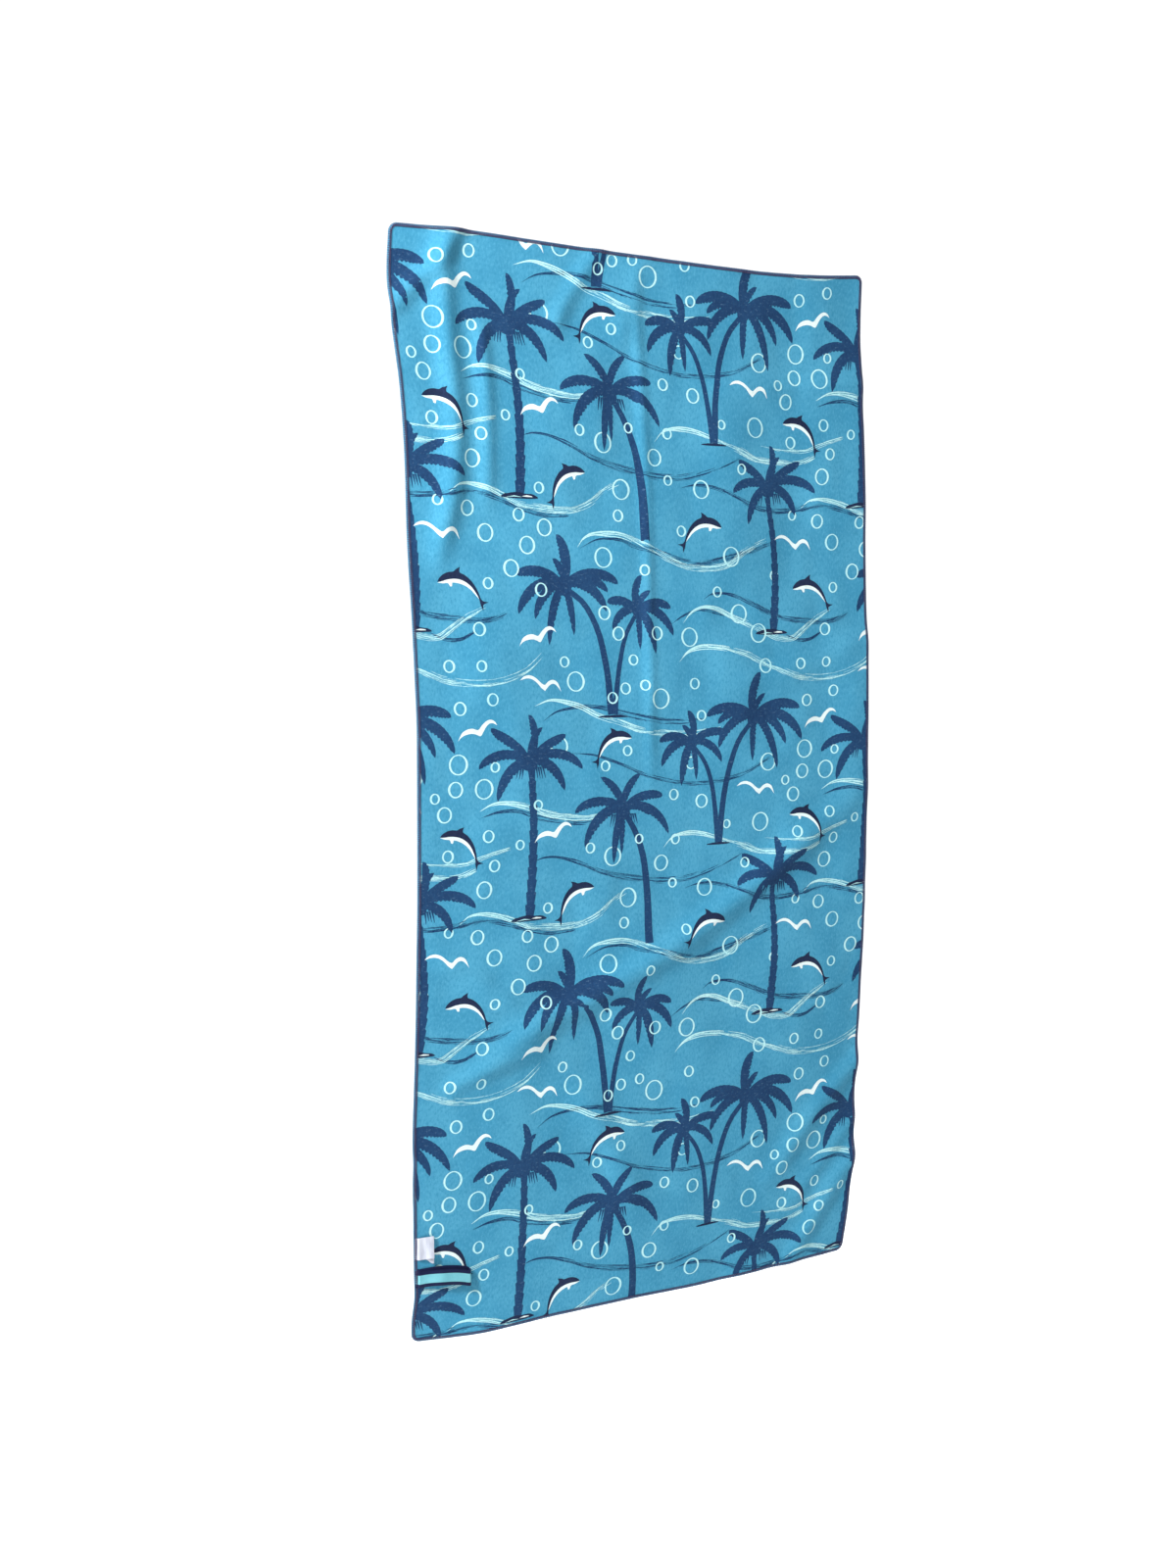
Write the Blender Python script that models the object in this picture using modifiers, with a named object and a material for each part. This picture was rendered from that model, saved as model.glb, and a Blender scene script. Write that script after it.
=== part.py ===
"""Quick dry towel with an overlocked edge, a folded hanging loop and two care label leaves.

Frame: metres, +Z up, +X to the right across the towel, the printed face towards -Y.
The origin is the middle of the line between the two top corners, where the towel is held.
The towel hangs from there, from z = 0 down to about z = -1.6.
"""
import math

import bmesh
import bpy
import numpy as np

# ---------------------------------------------------------------- driving dimensions (metres)
TOWEL_W = 0.800            # width across the top
TOWEL_H = 1.600            # length, top edge to bottom edge
CLOTH_T = 0.0010           # microfibre cloth thickness
CORNER_R = 0.012           # radius of the four corners

CELL_U = 0.0485            # spacing of the grid lines across
CELL_V = 0.0525            # spacing of the grid lines down

SEAM_IN = 0.0044           # overlock seam width inside the cut edge
SEAM_OUT = 0.0008          # how far the looper threads stand outside the cut edge
THREAD_T = 0.0005          # thickness of a looper thread layer
NEEDLE_IN = 0.0050         # needle thread line, inside the cut edge
NEEDLE_R = 0.0002          # needle thread radius
GAP = 0.0003               # clearance between touching pieces

BELLY = 0.030              # how far the middle of the towel stands forward of its corners

STRAP_W = 0.025            # hanging loop webbing width
STRAP_T = 0.0011           # webbing thickness
LOOP_L = 0.0830            # hinge line to the loop's rounded end
LOOP_V = 1.4970            # loop's centre line, down from the top edge
LOOP_GAP = 0.0054          # clear space inside the loop
LOOP_DROOP = 0.0120        # how far the loop's end sags
LOOP_SHIFT = 0.0040        # the rear layer sits this much higher than the front layer
LOOP_HINGE = (-0.3930, -0.0099)     # x, y of the line that the loop turns about

LABEL_T = 0.0003           # satin ribbon thickness
LABEL_W = 0.0340           # label leaf, along the seam
LABEL_L = 0.0240           # label leaf, out from the hinge line
LABEL_TOP = 1.4310         # top of the leaves, down from the top edge
LABEL_HINGE = (-0.3942, -0.0123)    # x, y of the line that the label turns about

# Sideways wander of the two long edges and the sag of the two short ones: (place, offset).
EDGE_LEFT = ((0.0, 0.0), (0.06, -0.005), (0.25, 0.0075), (0.45, 0.0090), (0.65, 0.0125),
             (0.85, 0.0090), (1.05, 0.0050), (1.30, -0.0020), (1.45, -0.0005), (1.60, 0.0035))
EDGE_RIGHT = ((0.0, 0.0), (0.06, -0.004), (0.30, 0.0), (0.65, 0.0030), (1.00, 0.0070),
              (1.30, 0.0100), (1.45, 0.0110), (1.53, 0.0080), (1.60, 0.0))
EDGE_TOP = ((0.0, 0.001), (0.10, 0.002), (0.25, -0.003), (0.43, -0.008), (0.57, -0.011),
            (0.64, -0.0105), (0.72, -0.007), (0.80, 0.0))
EDGE_BOTTOM = ((0.0, 0.0), (0.06, -0.005), (0.20, -0.006), (0.40, -0.0075), (0.50, -0.0095),
               (0.62, -0.008), (0.72, -0.0065), (0.80, -0.004))

# Soft folds that stand towards the front: (path across/down the flat cloth, half width, height).
FOLDS = (
    (((0.02, 1.235), (0.19, 1.13), (0.30, 1.085), (0.45, 1.015), (0.64, 0.895), (0.86, 0.76)),
     0.021, 0.0075),
    (((0.078, -0.06), (0.080, 0.15), (0.072, 0.33), (0.035, 0.48)), 0.016, 0.0060),
    (((0.88, 1.20), (0.79, 1.27), (0.70, 1.35), (0.61, 1.47)), 0.017, 0.0050),
    (((0.88, 1.36), (0.80, 1.43), (0.73, 1.52), (0.66, 1.64)), 0.016, 0.0050),
)


# ---------------------------------------------------------------- the hang of the cloth
def through(stations, t):
    """Smooth curve through (place, value) stations."""
    xs = np.array([s[0] for s in stations])
    ys = np.array([s[1] for s in stations])
    slope = np.gradient(ys, xs)
    t = np.clip(np.asarray(t, float), xs[0], xs[-1])
    i = np.clip(np.searchsorted(xs, t) - 1, 0, len(xs) - 2)
    h = xs[i + 1] - xs[i]
    s = (t - xs[i]) / h
    return (ys[i] * (1 + 2 * s) * (1 - s) ** 2 + slope[i] * h * s * (1 - s) ** 2
            + ys[i + 1] * s * s * (3 - 2 * s) + slope[i + 1] * h * s * s * (s - 1))


def ease(t):
    t = np.clip(t, 0.0, 1.0)
    return t * t * (3 - 2 * t)


def fold(u, v, path, width, height):
    """A rounded ridge along a path, dying out at the path's ends."""
    k = np.linspace(0, len(path) - 1, 8 * (len(path) - 1) + 1)
    pu = through([(i, p[0]) for i, p in enumerate(path)], k)
    pv = through([(i, p[1]) for i, p in enumerate(path)], k)
    best = np.full(np.shape(u), 1e9)
    along = np.zeros(np.shape(u))
    for i in range(len(pu) - 1):
        du, dv = pu[i + 1] - pu[i], pv[i + 1] - pv[i]
        t = np.clip(((u - pu[i]) * du + (v - pv[i]) * dv) / (du * du + dv * dv), 0, 1)
        d2 = (u - pu[i] - t * du) ** 2 + (v - pv[i] - t * dv) ** 2
        near = d2 < best
        best = np.where(near, d2, best)
        along = np.where(near, (i + t) / (len(pu) - 1), along)
    fade = ease(along / 0.22) * ease((1 - along) / 0.22)
    return height * np.exp(-best / (2 * width * width)) * fade


def drape(u, v):
    """Where a point of the flat cloth hangs. u runs across, v runs down, both in metres."""
    u, v = np.asarray(u, float), np.asarray(v, float)
    across, down = u / TOWEL_W, v / TOWEL_H
    x = u - TOWEL_W / 2 + through(EDGE_LEFT, v) * (1 - across) + through(EDGE_RIGHT, v) * across
    z = -v + through(EDGE_TOP, u) * (1 - down) + through(EDGE_BOTTOM, u) * down
    forward = BELLY * np.sin(math.pi * np.clip(down, -0.02, 1.02))
    forward = forward + 0.0022 * np.sin(7.0 * u + 2.2 * v + 0.4) * ease(u / 0.25) * np.sin(
        math.pi * np.clip(down, 0, 1))
    for path, width, height in FOLDS:
        forward = forward + fold(u, v, path, width, height)
    return np.stack([x, -forward, z], axis=-1)


def front_normal(u, v):
    """Unit normal of the hanging cloth on its printed side."""
    e = 0.002
    across = drape(np.asarray(u) + e, v) - drape(np.asarray(u) - e, v)
    down = drape(u, np.asarray(v) + e) - drape(u, np.asarray(v) - e)
    n = np.cross(down, across)
    n = n / np.linalg.norm(n, axis=-1, keepdims=True)
    return np.where(n[..., 1:2] > 0, -n, n)


def round_corner(u, v):
    """Moves the square corners of the flat cloth onto the corner radius.

    Returns the point and the outward direction in the plane of the flat cloth.
    """
    r = CORNER_R
    su = -1.0 if u < TOWEL_W / 2 else 1.0
    sv = -1.0 if v < TOWEL_H / 2 else 1.0
    cu = r if su < 0 else TOWEL_W - r
    cv = r if sv < 0 else TOWEL_H - r
    a, b = (u - cu) * su / r, (v - cv) * sv / r
    if a > 0 and b > 0:
        x, y = a * math.sqrt(1 - b * b / 2), b * math.sqrt(1 - a * a / 2)
        length = math.hypot(x, y)
        return cu + su * r * x, cv + sv * r * y, su * x / length, sv * y / length
    if a > b * 1.0 and a > 0.999:
        return u, v, su, 0.0
    return u, v, 0.0, sv


def lines(total, cell):
    """Grid lines across a side: two in each corner radius, then even cells."""
    n = round((total - 2 * CORNER_R) / cell)
    middle = [CORNER_R + (total - 2 * CORNER_R) * i / n for i in range(n + 1)]
    return [0.0, 0.0052] + middle + [total - 0.0052, total]


LINES_U = lines(TOWEL_W, CELL_U)
LINES_V = lines(TOWEL_H, CELL_V)


def rim():
    """The cut edge as flat points in order round the towel, with outward directions."""
    nu, nv = len(LINES_U) - 1, len(LINES_V) - 1
    ring = [(LINES_U[i], 0.0) for i in range(nu)]
    ring += [(TOWEL_W, LINES_V[j]) for j in range(nv)]
    ring += [(LINES_U[i], TOWEL_H) for i in range(nu, 0, -1)]
    ring += [(0.0, LINES_V[j]) for j in range(nv, 0, -1)]
    return [round_corner(u, v) for u, v in ring]


def rim_row(inset, lift):
    """Points along the edge, moved inside it by inset and off the cloth's middle by lift."""
    pts = np.array([(u - inset * nu, v - inset * nv) for u, v, nu, nv in rim()])
    return drape(pts[:, 0], pts[:, 1]) + lift * front_normal(pts[:, 0], pts[:, 1])


# ---------------------------------------------------------------- scene helpers
for old in list(bpy.data.objects):
    bpy.data.objects.remove(old, do_unlink=True)

towel = bpy.data.collections.new("quick_dry_towel")
bpy.context.scene.collection.children.link(towel)


def finish(name, color, roughness):
    m = bpy.data.materials.new(name)
    m.use_nodes = True
    shader = m.node_tree.nodes["Principled BSDF"]
    shader.inputs["Base Color"].default_value = (*color, 1.0)
    shader.inputs["Roughness"].default_value = roughness
    shader.inputs["Metallic"].default_value = 0.0
    return m


def add(name, bm, material, parent=None):
    mesh = bpy.data.meshes.new(name)
    bm.to_mesh(mesh)
    bm.free()
    ob = bpy.data.objects.new(name, mesh)
    ob.data.materials.append(material)
    towel.objects.link(ob)
    mesh.shade_smooth()
    if parent is not None:
        ob.parent = parent
    return ob


def thicken(ob, thickness, even=False):
    mod = ob.modifiers.new("thickness", "SOLIDIFY")
    mod.thickness = thickness
    mod.offset = 0.0
    mod.use_even_offset = even
    return mod


def grid(nx, ny, place):
    """A grid of nx by ny cells, each corner put at place(i, j)."""
    bm = bmesh.new()
    bmesh.ops.create_grid(bm, x_segments=nx, y_segments=ny, size=0.5)
    for vert in bm.verts:
        i = round((vert.co.x + 0.5) * nx)
        j = round((vert.co.y + 0.5) * ny)
        vert.co = place(i, j)
    return bm


def band(rows):
    """A closed strip round the towel through rows of points."""
    bm = bmesh.new()
    n = len(rows[0])
    bmesh.ops.create_circle(bm, segments=n, radius=1.0, cap_ends=False)
    bm.verts.ensure_lookup_table()
    for k in range(n):
        bm.verts[k].co = rows[0][k]
    edges = list(bm.edges)
    loop = {vert: k for k, vert in enumerate(bm.verts)}
    for row in rows[1:]:
        order = {}
        for vert, k in loop.items():
            order[vert.co.to_tuple(7)] = k
        out = bmesh.ops.extrude_edge_only(bm, edges=edges)
        edges = [g for g in out["geom"] if isinstance(g, bmesh.types.BMEdge)]
        new = [g for g in out["geom"] if isinstance(g, bmesh.types.BMVert)]
        loop = {vert: order[vert.co.to_tuple(7)] for vert in new}
        for vert, k in loop.items():
            vert.co = row[k]
    bmesh.ops.recalc_face_normals(bm, faces=bm.faces)
    return bm


# ---------------------------------------------------------------- the cloth
cloth_finish = finish("microfibre_turquoise", (0.085, 0.376, 0.591), 0.92)
thread_finish = finish("thread_navy", (0.016, 0.028, 0.080), 0.70)
strap_finish = finish("webbing_navy_mint", (0.240, 0.640, 0.700), 0.75)
label_finish = finish("satin_white", (0.860, 0.820, 0.850), 0.35)


def cloth_point(i, j):
    u, v, _, _ = round_corner(LINES_U[i], LINES_V[len(LINES_V) - 1 - j])
    return drape(u, v)


cloth = add("towel_cloth", grid(len(LINES_U) - 1, len(LINES_V) - 1, cloth_point), cloth_finish)
thicken(cloth, CLOTH_T)

# ---------------------------------------------------------------- the three overlock threads
face = CLOTH_T / 2 + GAP + THREAD_T / 2
upper = add("overlock_upper_looper_thread",
            band([rim_row(SEAM_IN, face), rim_row(-SEAM_OUT, face), rim_row(-SEAM_OUT, -0.0002)]),
            thread_finish)
thicken(upper, THREAD_T, even=True)

lower = add("overlock_lower_looper_thread",
            band([rim_row(SEAM_IN, -face), rim_row(-SEAM_OUT, -face)]), thread_finish)
thicken(lower, THREAD_T)

stitch = bpy.data.curves.new("overlock_needle_thread", "CURVE")
stitch.dimensions = "3D"
stitch.bevel_depth = NEEDLE_R
stitch.bevel_resolution = 1
run = rim_row(NEEDLE_IN, CLOTH_T / 2 + GAP + NEEDLE_R)
line = stitch.splines.new("POLY")
line.points.add(len(run) - 1)
for k, p in enumerate(run):
    line.points[k].co = (p[0], p[1], p[2], 1.0)
line.use_cyclic_u = True
needle = bpy.data.objects.new("overlock_needle_thread", stitch)
needle.data.materials.append(thread_finish)
towel.objects.link(needle)

# ---------------------------------------------------------------- the hanging loop
loop_axis = bpy.data.objects.new("loop_axis", None)
loop_axis.location = (LOOP_HINGE[0], LOOP_HINGE[1], -LOOP_V)
towel.objects.link(loop_axis)

REAR_N = -(STRAP_T / 2 + 0.00025)                  # rear layer, behind the hinge line
FRONT_N = REAR_N + STRAP_T + LOOP_GAP              # front layer where the loop is open
ROOT_N = -REAR_N                                   # front layer at the hinge line


def strap_profile(k):
    """Along the folded strap: k 0 at the rear root, 1 at the front root. Returns s, n, shift."""
    r = (FRONT_N - REAR_N) / 2
    straight = LOOP_L - r
    bend = math.pi * r
    start = 0.0008
    total = 2 * (straight - start) + bend
    d = k * total
    if d <= straight - start:                      # rear layer, lying along the cloth
        return start + d, REAR_N, 1.0
    if d <= straight - start + bend:               # rounded end
        a = (d - (straight - start)) / r
        return straight + r * math.sin(a), REAR_N + r * (1 - math.cos(a)), 1 - a / math.pi
    s = straight - (d - (straight - start) - bend)  # front layer, closing to the root
    open_up = float(ease((s - 0.0085) / 0.032))
    return s, ROOT_N + (FRONT_N - ROOT_N) * open_up, 0.0


STRAP_CELLS = 44


def strap_point(i, j):
    s, n, shift = strap_profile(i / STRAP_CELLS)
    droop = LOOP_DROOP * (s / LOOP_L) ** 2.6
    height = STRAP_W * (j / 2 - 0.5) - droop + LOOP_SHIFT * shift
    return (s, -n, height)


strap = add("hanging_loop", grid(STRAP_CELLS, 2, strap_point), strap_finish, loop_axis)
thicken(strap, STRAP_T)

# ---------------------------------------------------------------- the care label's two leaves
label_axis = bpy.data.objects.new("label_axis", None)
label_axis.location = (LABEL_HINGE[0], LABEL_HINGE[1], -(LABEL_TOP + LABEL_W / 2))
towel.objects.link(label_axis)

LEAF_CELLS = 10


def front_leaf(i, j):
    s = 0.0008 + (LABEL_L - 0.0008) * i / LEAF_CELLS
    t = j / 4
    curl = float(ease((s - 0.0080) / 0.020))
    n = 0.0006 + 0.0022 * curl + 0.0009 * curl * (1 - t) ** 2
    return (s, -n, LABEL_W * (t - 0.5))


def rear_leaf(i, j):
    s = 0.0008 + (LABEL_L + 0.0008 - 0.0008) * i / LEAF_CELLS
    t = j / 4
    curl = float(ease((s - 0.0080) / 0.020))
    n = -0.0006 + 0.0007 * curl
    drop = 0.0090 * float(ease((s - 0.014) / 0.016)) * (1 - t)
    return (s, -n, LABEL_W * (t - 0.5) - 0.0008 - drop)


leaf_a = add("care_label_front_leaf", grid(LEAF_CELLS, 4, front_leaf), label_finish, label_axis)
thicken(leaf_a, LABEL_T)
leaf_b = add("care_label_rear_leaf", grid(LEAF_CELLS, 4, rear_leaf), label_finish, label_axis)
thicken(leaf_b, LABEL_T)
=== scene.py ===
import math
import random

import bpy
import numpy as np
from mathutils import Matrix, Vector, geometry


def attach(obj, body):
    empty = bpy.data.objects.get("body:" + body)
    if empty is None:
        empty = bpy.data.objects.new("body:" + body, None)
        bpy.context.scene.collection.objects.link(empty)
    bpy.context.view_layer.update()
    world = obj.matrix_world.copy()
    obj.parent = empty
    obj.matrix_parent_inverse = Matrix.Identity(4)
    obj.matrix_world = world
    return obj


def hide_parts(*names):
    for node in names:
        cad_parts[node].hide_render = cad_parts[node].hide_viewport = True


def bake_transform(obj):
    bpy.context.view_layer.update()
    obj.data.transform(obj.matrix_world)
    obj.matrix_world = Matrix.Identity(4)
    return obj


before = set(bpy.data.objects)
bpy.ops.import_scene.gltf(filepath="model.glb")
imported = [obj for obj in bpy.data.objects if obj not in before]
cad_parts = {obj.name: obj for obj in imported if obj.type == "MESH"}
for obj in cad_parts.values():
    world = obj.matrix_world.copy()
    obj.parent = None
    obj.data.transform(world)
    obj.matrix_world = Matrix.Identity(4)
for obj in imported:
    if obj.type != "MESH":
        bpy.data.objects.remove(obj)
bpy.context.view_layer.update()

# =====================================================================================
# Sizes, the same as the design's
# =====================================================================================
TOWEL_W, TOWEL_H, CLOTH_T, CORNER_R = 0.800, 1.600, 0.0010, 0.012
BELLY = 0.030
SEAM_IN, SEAM_OUT, NEEDLE_IN = 0.0044, 0.0008, 0.0048

STRAP_W, LOOP_L, LOOP_V, LOOP_GAP = 0.025, 0.0830, 1.4970, 0.0054
LOOP_DROOP, LOOP_SHIFT = 0.0120, 0.0040
LOOP_HINGE = (-0.3930, -0.0099)
LABEL_W, LABEL_L, LABEL_TOP = 0.0340, 0.0240, 1.4310
LABEL_HINGE = (-0.3942, -0.0123)

EDGE_LEFT = ((0.0, 0.0), (0.06, -0.005), (0.25, 0.0075), (0.45, 0.0090), (0.65, 0.0125),
             (0.85, 0.0090), (1.05, 0.0050), (1.30, -0.0020), (1.45, -0.0005), (1.60, 0.0035))
EDGE_RIGHT = ((0.0, 0.0), (0.06, -0.004), (0.30, 0.0), (0.65, 0.0030), (1.00, 0.0070),
              (1.30, 0.0100), (1.45, 0.0110), (1.53, 0.0080), (1.60, 0.0))
EDGE_TOP = ((0.0, 0.001), (0.10, 0.002), (0.25, -0.003), (0.43, -0.008), (0.57, -0.011),
            (0.64, -0.0105), (0.72, -0.007), (0.80, 0.0))
EDGE_BOTTOM = ((0.0, 0.0), (0.06, -0.005), (0.20, -0.006), (0.40, -0.0075), (0.50, -0.0095),
               (0.62, -0.008), (0.72, -0.0065), (0.80, -0.004))
# Folds that the design has too: path across/down the flat cloth, half width, height.
FOLDS = (
    (((0.02, 1.235), (0.19, 1.13), (0.30, 1.085), (0.45, 1.015), (0.64, 0.895), (0.86, 0.76)),
     0.021, 0.0075),
    (((0.078, -0.06), (0.080, 0.15), (0.072, 0.33), (0.035, 0.48)), 0.016, 0.0060),
    (((0.88, 1.20), (0.79, 1.27), (0.70, 1.35), (0.61, 1.47)), 0.017, 0.0050),
    (((0.88, 1.36), (0.80, 1.43), (0.73, 1.52), (0.66, 1.64)), 0.016, 0.0050),
)
# Creases and small folds that only the visual cloth has.
CREASES = (
    (((0.388, -0.03), (0.390, 0.25), (0.389, 0.50), (0.391, 0.84)), 0.0070, 0.0034),
    (((0.125, -0.05), (0.070, 0.045), (-0.03, 0.14)), 0.010, 0.0062),
    (((0.136, 0.10), (0.131, 0.22), (0.122, 0.39)), 0.0095, 0.0052),
    (((0.350, -0.04), (0.296, 0.04), (0.235, 0.14)), 0.010, 0.0046),
    (((0.01, 1.00), (0.09, 1.04), (0.18, 1.105)), 0.010, 0.0030),
    (((0.03, 1.215), (0.12, 1.18), (0.24, 1.16)), 0.010, 0.0042),
    (((0.42, -0.03), (0.375, 0.06), (0.36, 0.16)), 0.010, 0.0016),
    (((0.50, 0.175), (0.62, 0.172), (0.86, 0.166)), 0.013, 0.0046),
    (((0.86, 1.30), (0.76, 1.40), (0.64, 1.53)), 0.010, 0.0032),
    (((-0.04, 1.30), (0.05, 1.33), (0.16, 1.36)), 0.013, 0.0026),
    (((0.25, 1.20), (0.33, 1.33), (0.38, 1.45)), 0.016, 0.0036),
    (((0.52, 0.62), (0.66, 0.60), (0.84, 0.545)), 0.014, 0.0026),
)

# =====================================================================================
# The hang of the cloth
# =====================================================================================
def through(stations, t):
    xs = np.array([s[0] for s in stations])
    ys = np.array([s[1] for s in stations])
    slope = np.gradient(ys, xs)
    t = np.clip(np.asarray(t, float), xs[0], xs[-1])
    i = np.clip(np.searchsorted(xs, t) - 1, 0, len(xs) - 2)
    h = xs[i + 1] - xs[i]
    s = (t - xs[i]) / h
    return (ys[i] * (1 + 2 * s) * (1 - s) ** 2 + slope[i] * h * s * (1 - s) ** 2
            + ys[i + 1] * s * s * (3 - 2 * s) + slope[i + 1] * h * s * s * (s - 1))


def ease(t):
    t = np.clip(t, 0.0, 1.0)
    return t * t * (3 - 2 * t)


def fold(u, v, path, width, height):
    k = np.linspace(0, len(path) - 1, 8 * (len(path) - 1) + 1)
    pu = through([(i, p[0]) for i, p in enumerate(path)], k)
    pv = through([(i, p[1]) for i, p in enumerate(path)], k)
    best = np.full(np.shape(u), 1e9)
    along = np.zeros(np.shape(u))
    for i in range(len(pu) - 1):
        du, dv = pu[i + 1] - pu[i], pv[i + 1] - pv[i]
        t = np.clip(((u - pu[i]) * du + (v - pv[i]) * dv) / (du * du + dv * dv), 0, 1)
        d2 = (u - pu[i] - t * du) ** 2 + (v - pv[i] - t * dv) ** 2
        near = d2 < best
        best = np.where(near, d2, best)
        along = np.where(near, (i + t) / (len(pu) - 1), along)
    fade = ease(along / 0.22) * ease((1 - along) / 0.22)
    return height * np.exp(-best / (2 * width * width)) * fade


class Waviness:
    """Smooth seeded noise over the flat cloth."""

    def __init__(self, seed, cell_u, cell_v):
        rng = np.random.default_rng(seed)
        self.cu, self.cv = cell_u, cell_v
        self.g = rng.normal(size=(int(TOWEL_W / cell_u) + 6, int(TOWEL_H / cell_v) + 6))

    def __call__(self, u, v):
        a, b = np.asarray(u) / self.cu + 2, np.asarray(v) / self.cv + 2
        i = np.clip(np.floor(a).astype(int), 0, self.g.shape[0] - 2)
        j = np.clip(np.floor(b).astype(int), 0, self.g.shape[1] - 2)
        s, t = a - i, b - j
        s = s * s * s * (s * (s * 6 - 15) + 10)
        t = t * t * t * (t * (t * 6 - 15) + 10)
        g = self.g
        return ((g[i, j] * (1 - s) + g[i + 1, j] * s) * (1 - t)
                + (g[i, j + 1] * (1 - s) + g[i + 1, j + 1] * s) * t)


WAVES_IN_CLOTH = ((Waviness(3, 0.135, 0.210), 0.00180), (Waviness(5, 0.060, 0.085), 0.00100),
                  (Waviness(8, 0.026, 0.034), 0.00022))


def drape(u, v):
    """Where a point of the flat cloth hangs; u runs across and v down, in metres."""
    u, v = np.asarray(u, float), np.asarray(v, float)
    across, down = u / TOWEL_W, v / TOWEL_H
    x = u - TOWEL_W / 2 + through(EDGE_LEFT, v) * (1 - across) + through(EDGE_RIGHT, v) * across
    z = -v + through(EDGE_TOP, u) * (1 - down) + through(EDGE_BOTTOM, u) * down
    forward = BELLY * np.sin(math.pi * np.clip(down, -0.02, 1.02))
    forward = forward + 0.0022 * np.sin(7.0 * u + 2.2 * v + 0.4) * ease(u / 0.25) * np.sin(
        math.pi * np.clip(down, 0, 1))
    for path, width, height in FOLDS:
        forward = forward + fold(u, v, path, 0.82 * width, 1.5 * height)
    calm = 1 - np.exp(-(((u - 0.035) / 0.085) ** 2 + ((v - 1.475) / 0.075) ** 2) ** 2)
    extra = 0.0
    for path, width, height in CREASES:
        extra = extra + fold(u, v, path, width, height)
    for noise, height in WAVES_IN_CLOTH:
        extra = extra + height * noise(u, v)
    forward = forward + extra * calm
    corner = ease((v - 1.515) / 0.060) * np.clip(1 - u / 0.16, 0, 1) ** 2
    forward = forward - 0.0050 * corner
    x = x - 0.0035 * corner
    return np.stack([x, -forward, z], axis=-1)


def front_normal(u, v):
    e = 0.0015
    u, v = np.asarray(u, float), np.asarray(v, float)
    n = np.cross(drape(u, v + e) - drape(u, v - e), drape(u + e, v) - drape(u - e, v))
    n = n / np.linalg.norm(n, axis=-1, keepdims=True)
    return np.where(n[..., 1:2] > 0, -n, n)


def on_cloth(u, v, lift):
    return drape(u, v) + front_normal(u, v) * np.asarray(lift)[..., None]


def round_corners(u, v):
    """Takes the square corners of the flat grid to the corner radius."""
    r = CORNER_R
    su = np.where(u < TOWEL_W / 2, -1.0, 1.0)
    sv = np.where(v < TOWEL_H / 2, -1.0, 1.0)
    cu = np.where(su < 0, r, TOWEL_W - r)
    cv = np.where(sv < 0, r, TOWEL_H - r)
    a, b = (u - cu) * su / r, (v - cv) * sv / r
    inside = (a > 0) & (b > 0)
    a2, b2 = np.clip(a, 0, 1), np.clip(b, 0, 1)
    x, y = a2 * np.sqrt(1 - b2 * b2 / 2), b2 * np.sqrt(1 - a2 * a2 / 2)
    return np.where(inside, cu + su * r * x, u), np.where(inside, cv + sv * r * y, v)


# =====================================================================================
# Helpers
# =====================================================================================
piece_collection = bpy.data.collections.new("towel_look")
bpy.context.scene.collection.children.link(piece_collection)


def make(name, verts, faces, materials, indices=None, normals=None, uv=None, smooth=True):
    me = bpy.data.meshes.new(name)
    me.from_pydata(np.asarray(verts, float).tolist(), [], [list(map(int, f)) for f in faces])
    for m in materials:
        me.materials.append(m)
    if indices is not None:
        me.polygons.foreach_set("material_index", np.asarray(indices, np.int32))
    if smooth:
        me.shade_smooth()
    if uv is not None:
        layer = me.uv_layers.new(name="flat")
        loops = np.empty(len(me.loops), np.int32)
        me.loops.foreach_get("vertex_index", loops)
        layer.data.foreach_set("uv", np.asarray(uv, np.float32)[loops].ravel())
    me.validate()
    me.update()
    if normals is not None:
        me.normals_split_custom_set_from_vertices(np.asarray(normals, float).tolist())
    ob = bpy.data.objects.new(name, me)
    piece_collection.objects.link(ob)
    return ob


def grid_faces(nx, ny, flip=False):
    """Quads of an (nx+1) by (ny+1) grid of points stored with y fastest."""
    i, j = np.meshgrid(np.arange(nx), np.arange(ny), indexing="ij")
    a = (i * (ny + 1) + j).ravel()
    f = np.stack([a, a + ny + 1, a + ny + 2, a + 1], 1)
    return f[:, ::-1] if flip else f


# =====================================================================================
# Materials
# =====================================================================================
def srgb(r, g, b):
    def lin(c):
        c /= 255.0
        return c / 12.92 if c <= 0.04045 else ((c + 0.055) / 1.055) ** 2.4
    return (lin(r), lin(g), lin(b), 1.0)


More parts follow.
